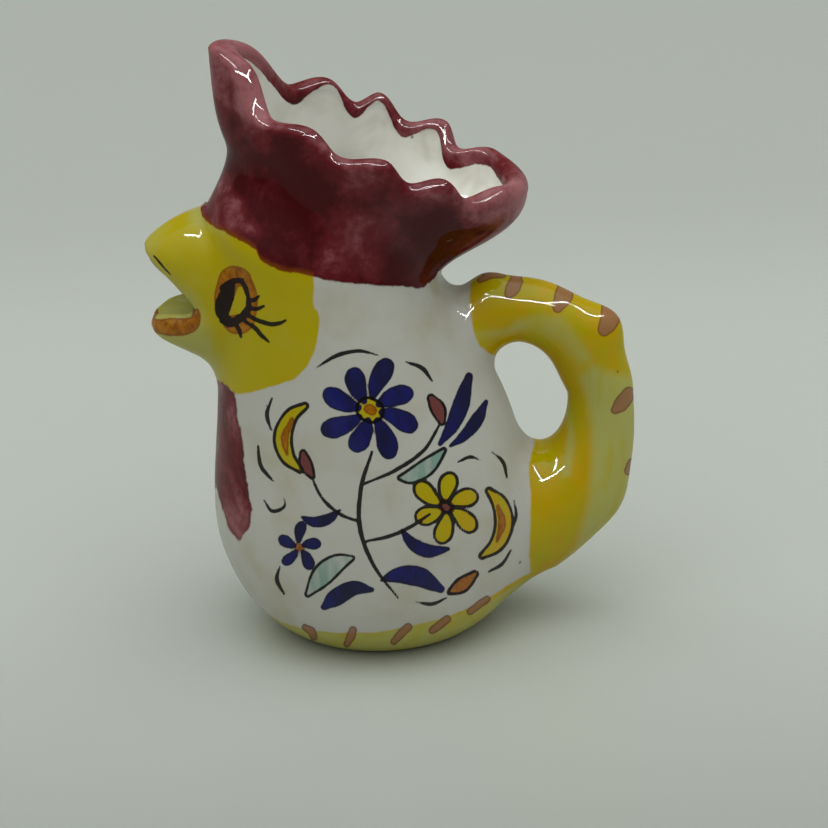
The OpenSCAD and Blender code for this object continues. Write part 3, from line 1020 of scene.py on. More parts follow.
def flower(colour, edge, x, y, radius, count, turn, width):
    """Petals round a centre: each a brush stroke that swells from the heart and rounds off."""
    petals = []
    for k in range(count):
        angle = turn + TURN * k / count
        stretch = 1 + 0.12 * np.sin(2.3 * k + turn)
        along = np.array([0.26, 0.5, 0.78, 0.9]) * radius * stretch
        widths = np.array([0.35, 0.75, 1.0, 0.85]) * width
        bend = angle + 0.12 * np.array([0, 0.3, 1, 1.3])
        points = np.stack([x + along * np.cos(bend), y + along * np.sin(bend), widths], -1)
        petals.append(shape(colour, edge, *points))
    return petals


ORNAMENT = [
    # stems and branches
    line("black", (398, 598, 0.25), (374, 566, 0.45), (360, 528, 0.55), (361, 488, 0.5),
         (372, 452, 0.35)),
    line("black", (363, 542, 0.3), (390, 536, 0.45), (412, 526, 0.45), (430, 514, 0.3)),
    line("black", (360, 522, 0.3), (340, 514, 0.45), (322, 498, 0.4), (312, 478, 0.25)),
    line("black", (364, 484, 0.3), (396, 470, 0.45), (424, 450, 0.45), (440, 424, 0.3)),
    # leaves
    shape("turquoise", 0.33, (352, 558, 0.4), (336, 564, 1.9), (322, 576, 2.2), (308, 594, 0.5)),
    shape("turquoise", 0.33, (400, 478, 0.4), (412, 476, 1.5), (428, 466, 1.7), (444, 450, 0.4)),
    line("blue", (382, 580, 0.5), (400, 575, 1.9), (420, 577, 2.3), (441, 589, 0.9)),
    line("blue", (372, 590, 0.5), (354, 588, 1.7), (337, 597, 2.0), (324, 607, 0.8)),
    line("blue", (402, 530, 0.4), (412, 543, 1.4), (428, 551, 1.6), (448, 549, 0.6)),
    line("blue", (440, 444, 0.5), (452, 426, 1.6), (462, 402, 1.9), (469, 376, 0.8)),
    line("blue", (450, 446, 0.4), (464, 436, 1.2), (477, 420, 1.5), (486, 402, 0.6)),
    line("blue", (340, 510, 0.4), (328, 519, 1.3), (314, 522, 1.2), (302, 517, 0.4)),
    # scrolls
    shape("yellow", 0.36, (482, 556, 0.5), (497, 544, 1.5), (504, 524, 1.9), (500, 504, 1.6),
          (489, 491, 0.6)),
    line("orange", (497, 541, 0.4), (502, 523, 0.9), (498, 506, 0.5)),
    shape("yellow", 0.36, (300, 470, 0.5), (287, 456, 1.5), (283, 436, 1.9), (291, 416, 1.4),
          (305, 406, 0.6)),
    line("orange", (287, 454, 0.4), (285, 437, 0.9), (292, 420, 0.5)),
    # buds
    shape("red", 0.3, (442, 422, 0.6), (438, 409, 1.5), (431, 398, 0.7)),
    shape("red", 0.3, (312, 476, 0.5), (306, 465, 1.3), (303, 453, 0.6)),
    shape("orange", 0.33, (450, 592, 0.4), (462, 585, 1.5), (475, 574, 0.6)),
    # flourishes
    line("black", (316, 368, 0.2), (336, 356, 0.5), (358, 351, 0.45), (378, 355, 0.2)),
    line("black", (406, 362, 0.2), (422, 368, 0.5), (432, 381, 0.25)),
    line("black", (272, 398, 0.2), (267, 414, 0.5), (271, 430, 0.25)),
    line("black", (258, 446, 0.25), (261, 466, 0.5), (273, 481, 0.2)),
    line("black", (264, 500, 0.25), (272, 511, 0.45), (284, 507, 0.4), (284, 497, 0.2)),
    line("black", (280, 566, 0.2), (277, 580, 0.5), (284, 594, 0.25)),
    line("black", (492, 452, 0.2), (503, 462, 0.5), (507, 478, 0.25)),
    line("black", (514, 500, 0.25), (516, 516, 0.4), (511, 532, 0.2)),
    line("black", (488, 572, 0.2), (502, 564, 0.45), (511, 550, 0.2)),
    line("black", (458, 462, 0.2), (470, 457, 0.4), (480, 460, 0.2)),
    line("black", (416, 602, 0.2), (432, 604, 0.45), (446, 598, 0.2)),
]
ORNAMENT += flower("blue", 0, 370, 410, 46, 8, 0.2, 2.35)
ORNAMENT += [
    shape("yellow", 0.38, (368, 409, 2.5), (372, 411, 2.5)),
    line("orange", (369, 409, 1.2), (372, 411, 1.1)),
]
ORNAMENT += flower("yellow", 0.36, 446, 507, 31, 6, 0.5, 1.95)
ORNAMENT += [line("red", (445, 506, 1.6), (448, 508, 1.5))]
ORNAMENT += flower("blue", 0, 299, 547, 21, 5, 0.9, 1.35)
ORNAMENT += [line("orange", (298, 547, 0.9), (301, 548, 0.8))]


def rounded(corners):
    """A closed outline with its corners rounded by a Catmull-Rom curve, five points for one."""
    ring = [*corners[-2:], *corners, *corners[:2]]
    place = np.linspace(2, len(corners) + 2, 5 * len(corners), endpoint=False)
    return through(ring, place / (len(ring) - 1))


def patch_distance(points, corners):
    """Signed distance in millimetres of pixels to a closed outline, positive inside.

    It is the distance to the nearest edge. A point is inside when a line from it crosses an
    odd number of edges.
    """
    corners = np.array(corners, float)
    gap = np.full(len(points), np.inf)
    inside = np.zeros(len(points), bool)
    for a, b in zip(corners, np.roll(corners, -1, 0)):
        edge, to = b - a, points - a
        share = np.clip(to @ edge / (edge @ edge), 0, 1)
        gap = np.minimum(gap, np.linalg.norm(to - share[:, None] * edge, axis=1))
        spans = (a[1] > points[:, 1]) != (b[1] > points[:, 1])
        with np.errstate(divide="ignore", invalid="ignore"):
            inside ^= spans & (points[:, 0] < edge[0] * to[:, 1] / edge[1] + a[0])
    return PIXEL * np.where(inside, gap, -gap)


def over_comb_edge(flat):
    """Distance in millimetres of pixels above the comb's painted edge."""
    x, y = np.array(COMB_EDGE, float).T
    return 0.9 * PIXEL * (np.interp(flat[:, 0], x, y) - flat[:, 1])


def skin_tree():
    """A search tree over every outer skin, for laying brush lines on the clay."""
    points, faces = [], []
    half_lip = FACE_SKIN_ROWS + FACE_LIP_ROWS - 2
    for skin in (clay.vessel[: clay.starts[4]], clay.horn, clay.face[:half_lip]):
        grid = skin[::2, ::2]
        faces += (quads(grid, False, True) + len(points)).tolist()
        points += grid.reshape(-1, 3).tolist()
    return BVHTree.FromPolygons(points, faces)


def brush_lines():
    """Every brush line with points a pixel apart, its half widths and the clay beneath it."""
    place, right, up, ahead, focal = camera_axes()
    tree = skin_tree()
    laid = []
    for colour, points, edge in FACE_LINES + DASHES + ORNAMENT:
        steps = int(2 + np.linalg.norm(np.diff(points[:, :2], axis=0), axis=1).sum())
        path = through(points, np.linspace(0, 1, steps))
        ground = []
        for x, y, _ in path[::4]:
            ray = ahead + right * (x - PICTURE / 2) / focal - up * (y - PICTURE / 2) / focal
            hit = tree.ray_cast(Vector(place), Vector(ray).normalized())[0]
            if hit is not None:
                ground.append(tuple(hit))
        if ground:
            laid.append((colour, path, edge, np.array(ground)))
    return laid


def paint_layers(points, painted):
    """Signed distance to each colour's brushwork at every point, in millimetres.

    A brush line's distance is its half width less the distance to its middle line, in the
    picture plane, and it counts only near the clay that the line was laid on.
    """
    flat, near_side = to_picture(points), folded(points)
    x, z = points[:, 0], points[:, 2]
    layers = {colour: np.full(len(points), -FAR_OFF) for colour in EDGES}
    patches = [patch_distance(flat, rounded(FACE_PATCH)), patch_distance(flat, HANDLE_PATCH)]
    layers["yellow"] = np.maximum.reduce([*patches, 0.8 * (BAND_HEIGHT + BAND_RISE * x - z)])
    wattle = np.where(x < WATTLE_X, patch_distance(flat, WATTLE), -FAR_OFF)
    layers["plum"] = np.maximum(over_comb_edge(flat), wattle)
    light = patch_distance(flat, EYE_LIGHT)
    for colour, path, edge_w, ground in clay.lines:
        reach = path[:, 2].max() + LINE_REACH
        within = (near_side > ground.min(0) - reach) & (near_side < ground.max(0) + reach)
        near = np.flatnonzero(np.all(within, -1))
        if not len(near):
            continue
        gap = PIXEL * np.linalg.norm(flat[near, None] - path[None, :, :2], axis=-1)
        inside = (path[None, :, 2] - gap).max(1)
        layers[colour][near] = np.maximum(layers[colour][near], inside)
        if edge_w:
            drawn = edge_w - np.abs(inside + EDGE_OUT)
            layers["black"][near] = np.maximum(layers["black"][near], drawn)
    for colour in ("orange", "black"):
        layers[colour] = np.minimum(layers[colour], -light)
    for colour in EDGES:
        layers[colour] = np.where(painted, np.clip(layers[colour], -FAR_OFF, FAR_OFF), -FAR_OFF)
    # Paleness: the patches, partly thin wash and partly painted light, and the paler yellow low on
    # the foot, partly thin wash and partly painted shade
    washes = (
        amount * smooth(0.5 + patch_distance(flat, outline) / (2 * soft))
        for amount, soft, outline in WASH_AND_LIGHT_PATCHES
    )
    layers["thin"] = sum(washes) + smooth((THIN_AND_SHADED_BELOW - z) / 2)
    return layers


def lay_paint(piece, painted=True, thin=0.0, inside=0.0, **overrides):
    """Stores the paint on a piece: one number per point and colour, and how thin the washes
    are, to which thin adds (partly thin wash, partly painted light), and where the glaze is that
    of the inside, whose lighter white is painted light for the hollow."""
    mesh = piece.data
    points = read_vectors(mesh.vertices, "co").astype(float) / MM
    layers = paint_layers(points, painted) | overrides
    layers["thin"] = layers["thin"] + thin
    layers["inside"] = inside
    for name, values in layers.items():
        attribute = mesh.attributes.new("paint_" + name, "FLOAT", "POINT")
        values = np.broadcast_to(np.asarray(values, np.float32), len(points))
        attribute.data.foreach_set("value", np.ascontiguousarray(values))


# ---------------------------------------------------------------- glaze


class Graph:
    """Short ways to add nodes to a material or a world and to join them."""

    def __init__(self, owner, where="Object"):
        owner.use_nodes = True
        self.owner, self.tree = owner, owner.node_tree
        self.tree.nodes.clear()
        self.where = self.node("TexCoord").outputs[where]

    def node(self, kind, inputs=(), **settings):
        """A node with its settings, and with numbers, colours or sockets for its inputs."""
        made = self.tree.nodes.new("ShaderNode" + kind)
        for key, value in settings.items():
            setattr(made, key, value)
        for key, value in dict(inputs).items():
            self.put(made.inputs[key], value)
        return made

    def put(self, socket, value):
        """Joins or sets one input."""
        if isinstance(value, bpy.types.NodeSocket):
            self.tree.links.new(value, socket)
        elif np.ndim(value) and socket.type == "RGBA" and len(value) == 3:
            socket.default_value = (*value, 1)
        else:
            socket.default_value = value

    def math(self, operation, a, b=0.0, c=0.0):
        """A sum, product or other operation on numbers."""
        return self.node("Math", {0: a, 1: b, 2: c}, operation=operation).outputs[0]

    def times(self, a, b):
        """The product a b."""
        return self.math("MULTIPLY", a, b)

    def scaled(self, a, b, c):
        """The sum a b + c."""
        return self.math("MULTIPLY_ADD", a, b, c)

    def noise(self, scale, detail=3.0, rough=0.5, twist=0.0, where=None):
        """Cloud noise from 0 to 1 about a half, on the piece's own coordinates in metres."""
        inputs = {"Scale": scale, "Detail": detail, "Roughness": rough, "Distortion": twist}
        inputs["Vector"] = where or self.where
        return self.node("TexNoise", inputs).outputs["Fac"]

    def ramp(self, value, low, high):
        """Eases from 0 to 1 while the value goes from low to high."""
        inputs = {"Value": value, "From Min": low, "From Max": high}
        return self.node("MapRange", inputs, interpolation_type="SMOOTHSTEP").outputs["Result"]

    def blend(self, share, a, b):
        """Mix of two colours."""
        made = self.node("Mix", data_type="RGBA")
        self.put(made.inputs["Factor"], share)
        self.put(made.inputs["A"], a)
        self.put(made.inputs["B"], b)
        return made.outputs["Result"]

    def over(self, ground, share, strength, coat):
        """A coat of a colour over its ground, as far as its share times its strength."""
        return self.blend(self.times(share, strength), ground, coat)

    def layer(self, name):
        """The signed distance that lay_paint stored under a name."""
        return self.node("Attribute", attribute_name="paint_" + name).outputs["Fac"]

    def split(self, axis):
        """One coordinate of the place."""
        return self.node("SeparateXYZ", {"Vector": self.where}).outputs[axis]

    def finish(self, inputs):
        """Joins a principled shader with these inputs to the output, and gives the material."""
        shader = self.node("BsdfPrincipled", inputs).outputs[0]
        self.node("OutputMaterial", {"Surface": shader})
        return self.owner


def colour(name):
    """A colour of the panel."""
    return tuple(getattr(bpy.context.scene.pitcher_colours, name))


def glaze(name):
    """Painted tin glaze: the white ground, then each colour in the painter's order, all under
    one clear coat with soft ripples."""
    g = Graph(bpy.data.materials.new(name))
    stretch = {"Vector": g.where, "Scale": (1, 1, 0.28), "Rotation": (0.2, 0.5, 0)}
    brush = g.noise(150, 4, 0.6, 0.6, g.node("Mapping", stretch).outputs[0])
    cloud = g.noise(70, 3, 0.55, 0.4)
    grain = g.noise(620, 4, 0.65)
    ragged = g.math("SUBTRACT", g.noise(520, 3, 0.6), 0.5)
    wavering = g.math("SUBTRACT", g.noise(170, 2, 0.5), 0.5)

    def covered(layer):
        """Share of a brushed colour: its distance made uneven, then cut at the edge."""
        fine, coarse, soft = EDGES[layer]
        distance = g.scaled(ragged, fine, g.layer(layer))
        distance = g.scaled(wavering, coarse, distance)
        return g.ramp(distance, -soft, soft), distance

    thin = g.layer("thin")
    # The ground: white glaze, and where the inside layer says, the lighter inside white, painted
    # light that lifts the shade in the hollow
    base = g.blend(g.layer("inside"), colour("white"), colour("inside"))
    base = g.over(base, g.ramp(cloud, 0.45, 0.8), 0.75, colour("cream"))
    base = g.over(base, g.ramp(grain, 0.62, 0.85), 0.2, colour("cream"))

    # Yellow: golden in the brush's full streaks towards the tail, pale where the thin map says,
    # which is partly thin wash and partly painted light and shade on the beak's top, in the mouth's
    # hollow and low on the foot
    yellow, distance = covered("yellow")
    tailward = g.ramp(g.split("X"), -0.012, 0.02)
    rich = g.times(g.ramp(brush, 0.38, 0.62), g.scaled(tailward, 0.88, 0.12))
    body = g.blend(rich, colour("yellow"), colour("gold"))
    pale = g.scaled(g.ramp(cloud, 0.45, 0.75), 0.15, thin)
    pale = g.times(pale, g.ramp(brush, 0.15, 0.6))
    pale = g.math("MINIMUM", g.math("MAXIMUM", pale, 0.0), 1.0)
    body = g.blend(pale, body, colour("pale_yellow"))
    body = g.over(body, g.ramp(distance, 0.9, 0.1), 0.3, colour("gold"))
    base = g.blend(yellow, base, body)

    # Plum: clouded by its thickness, dark along its edge, brown where it covers the yellow
    share, distance = covered("plum")
    thick = g.scaled(g.noise(84, 4, 0.55, 0.6), 0.6, g.scaled(grain, 0.22, 0.18))
    # The thin map pales the plum: partly a thinner wash, partly painted light on the comb's rim,
    # tip and back lobe
    thick = g.math("SUBTRACT", thick, g.times(g.math("MINIMUM", thin, 1.15), 0.23))
    body = g.blend(g.ramp(thick, 0.26, 0.5), colour("pale_plum"), colour("mid_plum"))
    body = g.blend(g.ramp(thick, 0.46, 0.66), body, colour("plum"))
    body = g.over(body, g.ramp(distance, 0.7, 0.05), 0.35, colour("plum"))
    shows = g.times(g.ramp(distance, 1.6, 0.1), yellow)
    body = g.over(body, shows, 0.75, colour("deep_orange"))
    base = g.blend(share, base, body)

    share, distance = covered("brown")
    body = g.blend(g.ramp(distance, 0.5, 0.1), colour("brown"), colour("deep_brown"))
    base = g.over(base, share, 0.9, body)

    share, distance = covered("orange")
    pool = g.ramp(g.math("ADD", grain, g.times(brush, 0.6)), 0.7, 1.0)
    body = g.blend(pool, colour("orange"), colour("deep_orange"))
    body = g.blend(g.ramp(distance, 0.6, 0.1), body, colour("deep_orange"))
    base = g.over(base, share, 0.95, body)

    body = g.blend(g.ramp(brush, 0.4, 0.75), colour("turquoise"), colour("white"))
    base = g.over(base, covered("turquoise")[0], 0.9, body)
    base = g.over(base, covered("red")[0], 0.92, colour("red"))

    share, distance = covered("blue")
    pool = g.math("ADD", g.ramp(distance, 0.55, 0.1), g.ramp(brush, 0.35, 0.62))
    body = g.blend(g.math("MINIMUM", pool, 1.0), colour("blue"), colour("deep_blue"))
    base = g.over(base, share, 0.98, body)

    base = g.over(base, covered("black")[0], 0.97, colour("black"))
    speck = g.ramp(g.noise(430, 1, 0.3), 0.83, 0.845)
    base = g.over(base, speck, 0.6, colour("black"))

    ripple = g.scaled(g.noise(330, 2, 0.5), 0.08, g.noise(95, 2, 0.4))
    bump = g.node("Bump", {"Height": ripple, "Strength": 0.35, "Distance": 0.0006}).outputs[0]
    return g.finish({
        "Base Color": base,
        "Roughness": 0.5,
        "IOR": 1.5,
        "Specular IOR Level": 0.0,
        "Coat Weight": 0.38,
        "Coat Roughness": 0.045,
        "Coat IOR": 1.5,
        "Normal": bump,
        "Coat Normal": bump,
        "Subsurface Weight": 0.05,
        "Subsurface Radius": (0.001, 0.0009, 0.0007),
        "Subsurface Scale": 1.0,
    })


def bare_clay():
    """Fired clay without glaze: warm and dull, with grit and the faint rings of the wire cut."""
    g = Graph(bpy.data.materials.new("bare_clay"))
    grit = g.noise(900, 4, 0.7)
    waves = {"Vector": g.where, "Scale": 160, "Distortion": 3.0, "Detail": 2.0}
    rings = g.node("TexWave", waves, wave_type="RINGS", rings_direction="Z")
    dark = tuple(0.72 * v for v in colour("clay"))
    base = g.blend(g.ramp(grit, 0.35, 0.7), colour("clay"), dark)
    height = g.scaled(rings.outputs["Fac"], 0.4, grit)
    bump = g.node("Bump", {"Height": height, "Strength": 0.5, "Distance": 0.0003}).outputs[0]
    return g.finish({"Base Color": base, "Roughness": 0.85, "Normal": bump})


# ---------------------------------------------------------------- pieces


def dress(piece, node, slot, *materials):
    """Rides a piece on the one body, in the place of its clay node, with its materials."""
    piece.data.materials.clear()
    for material in materials:
        piece.data.materials.append(material)
    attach(piece, "root")
    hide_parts(node)


def with_poles(grid, first, last):
    """Points and faces of a grid whose rows run from one pole to another."""
    rows, columns = grid.shape[:2]
    points = np.concatenate([grid.reshape(-1, 3), [first, last]])
    j = np.arange(columns)
    k = (j + 1) % columns
    start, end = rows * columns, rows * columns + 1
    last_row = (rows - 1) * columns
    faces = quads(grid, False, True).tolist()
    faces += np.stack([k, j, np.full(columns, start)], -1).tolist()
    faces += np.stack([last_row + j, last_row + k, np.full(columns, end)], -1).tolist()
    return points, faces


def sunk(grid, normals, row, depth=0.05):
    """A row of the skin, let into the clay by a little."""
    return (grid[row] - depth * normals[row])[None]


# Size on the vessel, of 1 on its outside, above which the body's skin is painted
OUTER_SKIN = 0.965
# Row of the face at which the mouth's paler inside starts, partly a thin wash and partly painted
# light that lifts the hollow's shade, and the rows that it takes
MOUTH_ROW = 66
MOUTH_FADE = 8


def make_foot():
    """Foot: a flat round face, the eased side that runs up to the belly, and the floor inside."""
    s, starts = clay.sizes, clay.starts
    side = clay.vessel[: starts[1] + 1]
    a = column_angles()

    def disc(radius, z):
        """A level circle round the middle."""
        return xyz(radius * np.cos(a), radius * np.sin(a), float(z))[None]

    edge = s.foot_d / 2 - FOOT_EASE
    bottom = [disc(edge * share, 0) for share in (0.3, 0.6, 0.85, 0.96)]
    inside = [disc(s.spring_d / 2 * share, s.floor_h) for share in (0.8, 0.6, 0.3)]
    grid = np.concatenate([*bottom, side, *inside])
    points, faces = with_poles(grid, (0, 0, 0), (0, 0, s.floor_h))
    down, up = np.array([0, 0, -1.0]), np.array([0, 0, 1.0])
    flat = [np.broadcast_to(n, (k, len(a), 3)) for n, k in ((down, len(bottom)), (up, len(inside)))]
    normals = np.concatenate([flat[0], clay.vessel_normals[: len(side)], flat[1]])
    normals = np.concatenate([normals.reshape(-1, 3), [down, up]])
    piece = new_piece("glazed_foot", points, faces, normals)
    dress(piece, "foot", "foot_glaze", glaze("foot_glaze"), bare_clay())
    heights = points[:, 2]
    under = [max(heights[c] for c in face) < 0.05 for face in faces]
    piece.data.polygons.foreach_set("material_index", np.array(under, np.int32))
    outside = np.concatenate([np.ones(grid.shape[0] * len(a), bool), [True, False]])
    outside[(len(bottom) + len(side)) * len(a) :] = False
    # The floor inside takes the lighter inside white, painted light for the hollow
    lay_paint(piece, outside, inside=~outside)


def make_body():
    """Body: the outside from floor to neck and the inside back down, as one closed wall, with
    the throat cut through it."""
    s, starts = clay.sizes, clay.starts
    skin, turn = clay.vessel, clay.vessel_normals
    up, down = slice(starts[1], starts[2] + 1), slice(starts[5] - 1, len(skin))
    over, under = starts[2] + 1, starts[5] - 2
    rows = [skin[up], sunk(skin, turn, over), sunk(skin, turn, under), skin[down]]
    grid = np.concatenate(rows)
    normals = np.concatenate([turn[up], turn[None, over], turn[None, under], turn[down]])
    piece = new_piece("painted_body", grid, quads(grid, True, True))
    cutter = new_piece("throat_cutter", *throat_rod(s))
    cut = piece.modifiers.new("throat", "BOOLEAN")
    cut.operation, cut.object, cut.solver = "DIFFERENCE", cutter, "MANIFOLD"
    graph = bpy.context.evaluated_depsgraph_get()
    mesh = bpy.data.meshes.new_from_object(piece.evaluated_get(graph))
    piece.modifiers.clear()
    piece.data = mesh
    mesh.name = "painted_body"
    bpy.data.objects.remove(cutter)
    match_normals(mesh, grid.reshape(-1, 3), normals.reshape(-1, 3))
    dress(piece, "body", "white_glaze", glaze("white_glaze"))
    size = vessel_params(s, read_vectors(mesh.vertices, "co") / MM)[2]
    # The inside takes the lighter inside white, painted light that lifts the shade in the hollow
    lay_paint(piece, size > OUTER_SKIN, inside=size < OUTER_SKIN)


def throat_rod(s):
    """A round rod along the throat, as long as the wall is thick and more."""
    sides, radius = 48, s.throat_d / 2
    a = -np.arange(sides) * TURN / sides
    ring = xyz(0.0, radius * np.cos(a), radius * np.sin(a))
    ends = [(-42, 0, s.beak_z), (-22, 0, s.beak_z)]
    return with_poles(np.stack([ring + end for end in ends]), *ends)


def match_normals(mesh, points, normals):
    """Gives a cut mesh the normals of the points that it kept, and its own to new points."""

    def key(places):
        """Each place in whole micrometres, as one value that sorts."""
        whole = np.round(places.astype(float) * 1e6).astype(np.int64)
        return np.ascontiguousarray(whole).view("i8,i8,i8").ravel()

    own = read_vectors(mesh.vertex_normals, "vector")
    known = key((points * MM).astype(np.float32))
    order = np.argsort(known)
    wanted = key(read_vectors(mesh.vertices, "co"))
    place = np.clip(np.searchsorted(known[order], wanted), 0, len(known) - 1)
    same = known[order][place] == wanted
    own[same] = normals[order[place[same]]]
    mesh.polygons.foreach_set("use_smooth", np.ones(len(mesh.polygons), bool))
    mesh.normals_split_custom_set_from_vertices(own.tolist())


def make_comb():
    """Comb: outside, rounded lip and inside as one closed band of clay."""
    starts = clay.starts
    part = slice(starts[2], starts[5])
    grid, normals = clay.vessel[part], clay.vessel_normals[part]
    piece = new_piece("crimped_comb", grid, quads(grid, True, True), normals)
    dress(piece, "comb", "comb_glaze", glaze("comb_glaze"))

    # Inside: the plum runs over the lip and some way down, further at both ends and in bites
    a = column_angles()
    u = to_back(a)
    top = starts[3] - starts[2] + LIP_ROWS // 2
    down = np.linalg.norm(np.diff(grid, axis=0), axis=-1)
    depth = np.zeros(grid.shape[:2])
    depth[top + 1 :] = np.cumsum(down[top:], 0)
    ends = smooth((0.3 - u) / 0.2) + smooth((u - 0.7) / 0.2)
    reach = 2.3 + 1.5 * bite(clay.sizes, a) + 3.0 * ends + 0.6 * np.sin(9 * a + 1) * np.sin(4 * a)
    plum = np.clip(reach - depth, -FAR_OFF, FAR_OFF)
    # From a millimetre below the lip the inside takes the lighter inside white, painted light that
    # lifts the shade in the hollow
    inside = smooth((depth - 1) / 4)

    # Outside: all plum, down to the painted edge at the joint, paler at the rim and the tip: partly
    # a thinner wash, partly painted light where the comb faces up
    t = np.linspace(0, 1, COMB_ROWS + 1)
    height = np.concatenate([t, np.ones(len(grid) - len(t))])[:, None]
    thin = smooth((height - 0.72) / 0.28) * 0.75
    thin = thin + 0.5 * smooth((0.25 - u) / 0.2) * smooth((height - 0.3) / 0.5)
    over = over_comb_edge(to_picture(grid.reshape(-1, 3))).reshape(grid.shape[:2])
    outside = np.arange(len(grid))[:, None] <= top
    plum = np.where(outside, np.where(height > 0.12, FAR_OFF, over), plum)
    painted = np.broadcast_to(outside, grid.shape[:2]).ravel()
    lay_paint(piece, painted, thin.ravel(), inside.ravel(), plum=plum.ravel(), black=-FAR_OFF)


def face_block(name, node, columns, mouth_thin_and_lit):
    """One beak: its columns of the face, outside, lip and mouth, closed through the neck's wall
    and across both ends."""
    grid = clay.face[:, columns]
    rows, count = grid.shape[:2]
    faces = quads(grid, True, False).tolist()
    faces.append([i * count for i in range(rows)])
    faces.append([i * count + count - 1 for i in range(rows)][::-1])
    piece = new_piece(name, grid, faces, clay.face_normals[:, columns])
    dress(piece, node, "beak_glaze", glaze(name + "_glaze"))
    # Paler yellow inside the mouth: partly a thin wash, partly painted light that lifts the shade
    # in the mouth's hollow
    inside = smooth((np.repeat(np.arange(rows), count) - MOUTH_ROW) / MOUTH_FADE)
    lay_paint(piece, yellow=FAR_OFF, thin=mouth_thin_and_lit * inside)


def make_face():
    """Upper and lower beak, parted at the corners of the mouth."""
    upper = np.flatnonzero(np.abs(clay.face_angle) <= MOUTH_CORNER)
    count = len(clay.face_angle)
    lower = np.arange(upper[-1], upper[0] + count + 1) % count
    face_block("upper_beak_face", "upper_beak", upper, 0.7)
    face_block("lower_beak_face", "lower_beak", lower, 0.9)


def make_horn():
    """Tail handle: the horn between its two seams, closed inside the wall at both ends."""
    s, grid = clay.sizes, clay.horn
    back, depth = np.zeros(1), 2.0
    poles = []
    for row in (0, -1):
        h = vessel_params(s, grid[row].mean(0)[None] * [1, 0, 1])[0]
        poles.append((vessel_point(s, h, back) - depth * vessel_normal(s, h, back))[0])
    points, faces = with_poles(grid, *poles)
    normals = np.concatenate([clay.horn_normals.reshape(-1, 3), [(-1, 0, 0), (-1, 0, 0)]])
    piece = new_piece("horn_handle", points, faces, normals)
    dress(piece, "tail_handle", "tail_glaze", glaze("tail_glaze"))
    lay_paint(piece, plum=-FAR_OFF)


# ---------------------------------------------------------------- studio


def make_camera():
    """The camera, at the height, roll and distance of the panel."""
    place, right, up, ahead, _ = camera_axes()
    g = bpy.context.scene.pitcher_studio
    data = bpy.data.cameras.new("camera")
    data.lens, data.sensor_width, data.sensor_fit = g.lens, SENSOR, "HORIZONTAL"
    data.clip_start, data.clip_end = 0.05, 20
    camera = add_object("camera", data)
    turn = Matrix(np.stack([right, up, -ahead], 1).tolist()).to_4x4()
    camera.matrix_world = Matrix.Translation(Vector(place * MM)) @ turn
    bpy.context.scene.camera = camera


# Strip lamps: name, place, width and share of the power. Then the depth of each and the point
# that all are turned to, all in metres
STRIPS = [
    ("strip_front", (0.1, -0.62, 0.72), 0.9, 0.5),
    ("strip_left", (-0.35, -0.26, 0.74), 0.7, 0.25),
    ("strip_right", (0.55, -0.26, 0.74), 0.7, 0.25),
]
STRIP_DEPTH = 0.035
STRIP_TARGET = (0, 0, 0.06)
# The room's light: its colour, its strength at the horizon and below, and its rise to
# straight above
ROOM_COLOUR = (0.96, 0.985, 0.965)
ROOM_LOW = 0.15
ROOM_RISE = 1.7


def strip_lamp(name, place, width, power):
    """A strip lamp, level along its width and turned to the pitcher. It makes streaks on the
    glaze and leaves the plain light to the room."""
    data = bpy.data.lights.new(name, "AREA")
    data.shape, data.size, data.size_y = "RECTANGLE", width, STRIP_DEPTH
    data.energy = power
    lamp = add_object(name, data)
    lamp.visible_diffuse = False
    turn = (Vector(STRIP_TARGET) - Vector(place)).to_track_quat("-Z", "Y")
    lamp.matrix_world = Matrix.Translation(Vector(place)) @ turn.to_matrix().to_4x4()


def make_backdrop():
    """Floor and backdrop as one sheet, flat under the pitcher and curved up behind it: a level
    line, a quarter circle and an upright line, in metres."""
    front, back, radius, top = -2.2, 0.9, 0.8, 3.0
    bend = np.linspace(0.1, np.pi / 2, 16)
    level, upright = np.linspace(front, back, 20), np.linspace(radius + 0.2, top, 6)
    depth = [level, back + radius * np.sin(bend), np.full(6, back + radius)]
    height = [0 * level, radius - radius * np.cos(bend), upright]
    depth, height = np.concatenate(depth), np.concatenate(height)
    x = np.linspace(-3.5, 3.5, 12)
    grid = xyz(x[None], depth[:, None], height[:, None])
    piece = new_piece("backdrop", grid / MM, quads(grid, False, False))

    # Painted shade: the floor is a little darker near the camera, and the backdrop falls off behind
    g = Graph(bpy.data.materials.new("backdrop"))
    y = g.split("Y")
    painted_falloff = g.scaled(g.ramp(y, -0.14, 0.03), 0.28, 0.72)
    painted_falloff = g.scaled(g.ramp(y, 0.16, 0.3), -0.13, painted_falloff)
    light = g.blend(painted_falloff, (0, 0, 0), colour("floor"))
    inputs = {"Base Color": light, "Roughness": 0.3, "Specular IOR Level": 0.3}
    piece.data.materials.append(g.finish(inputs))


def make_studio():
    """Room light that comes mostly from above, and three strips above the pitcher's front and
    both its sides, whose streaks the glaze shows. The room's strength at height z over the
    horizon is its low strength and its rise times z^2, both times the panel's setting."""
    settings = bpy.context.scene.pitcher_studio
    world = bpy.data.worlds.new("studio")
    g = Graph(world, "Generated")
    height = g.math("MAXIMUM", g.split("Z"), 0.0)
    strength = g.scaled(g.math("POWER", height, 2.0), ROOM_RISE, ROOM_LOW)
    strength = g.times(strength, settings.room_light)
    background = g.node("Background", {"Color": ROOM_COLOUR, "Strength": strength})
    g.node("OutputWorld", {"Surface": background.outputs[0]})
    bpy.context.scene.world = world
    for name, place, width, share in STRIPS:
        strip_lamp(name, place, width, share * settings.strip_power)
    bpy.context.scene.view_settings.view_transform = "Standard"


# ---------------------------------------------------------------- add-on


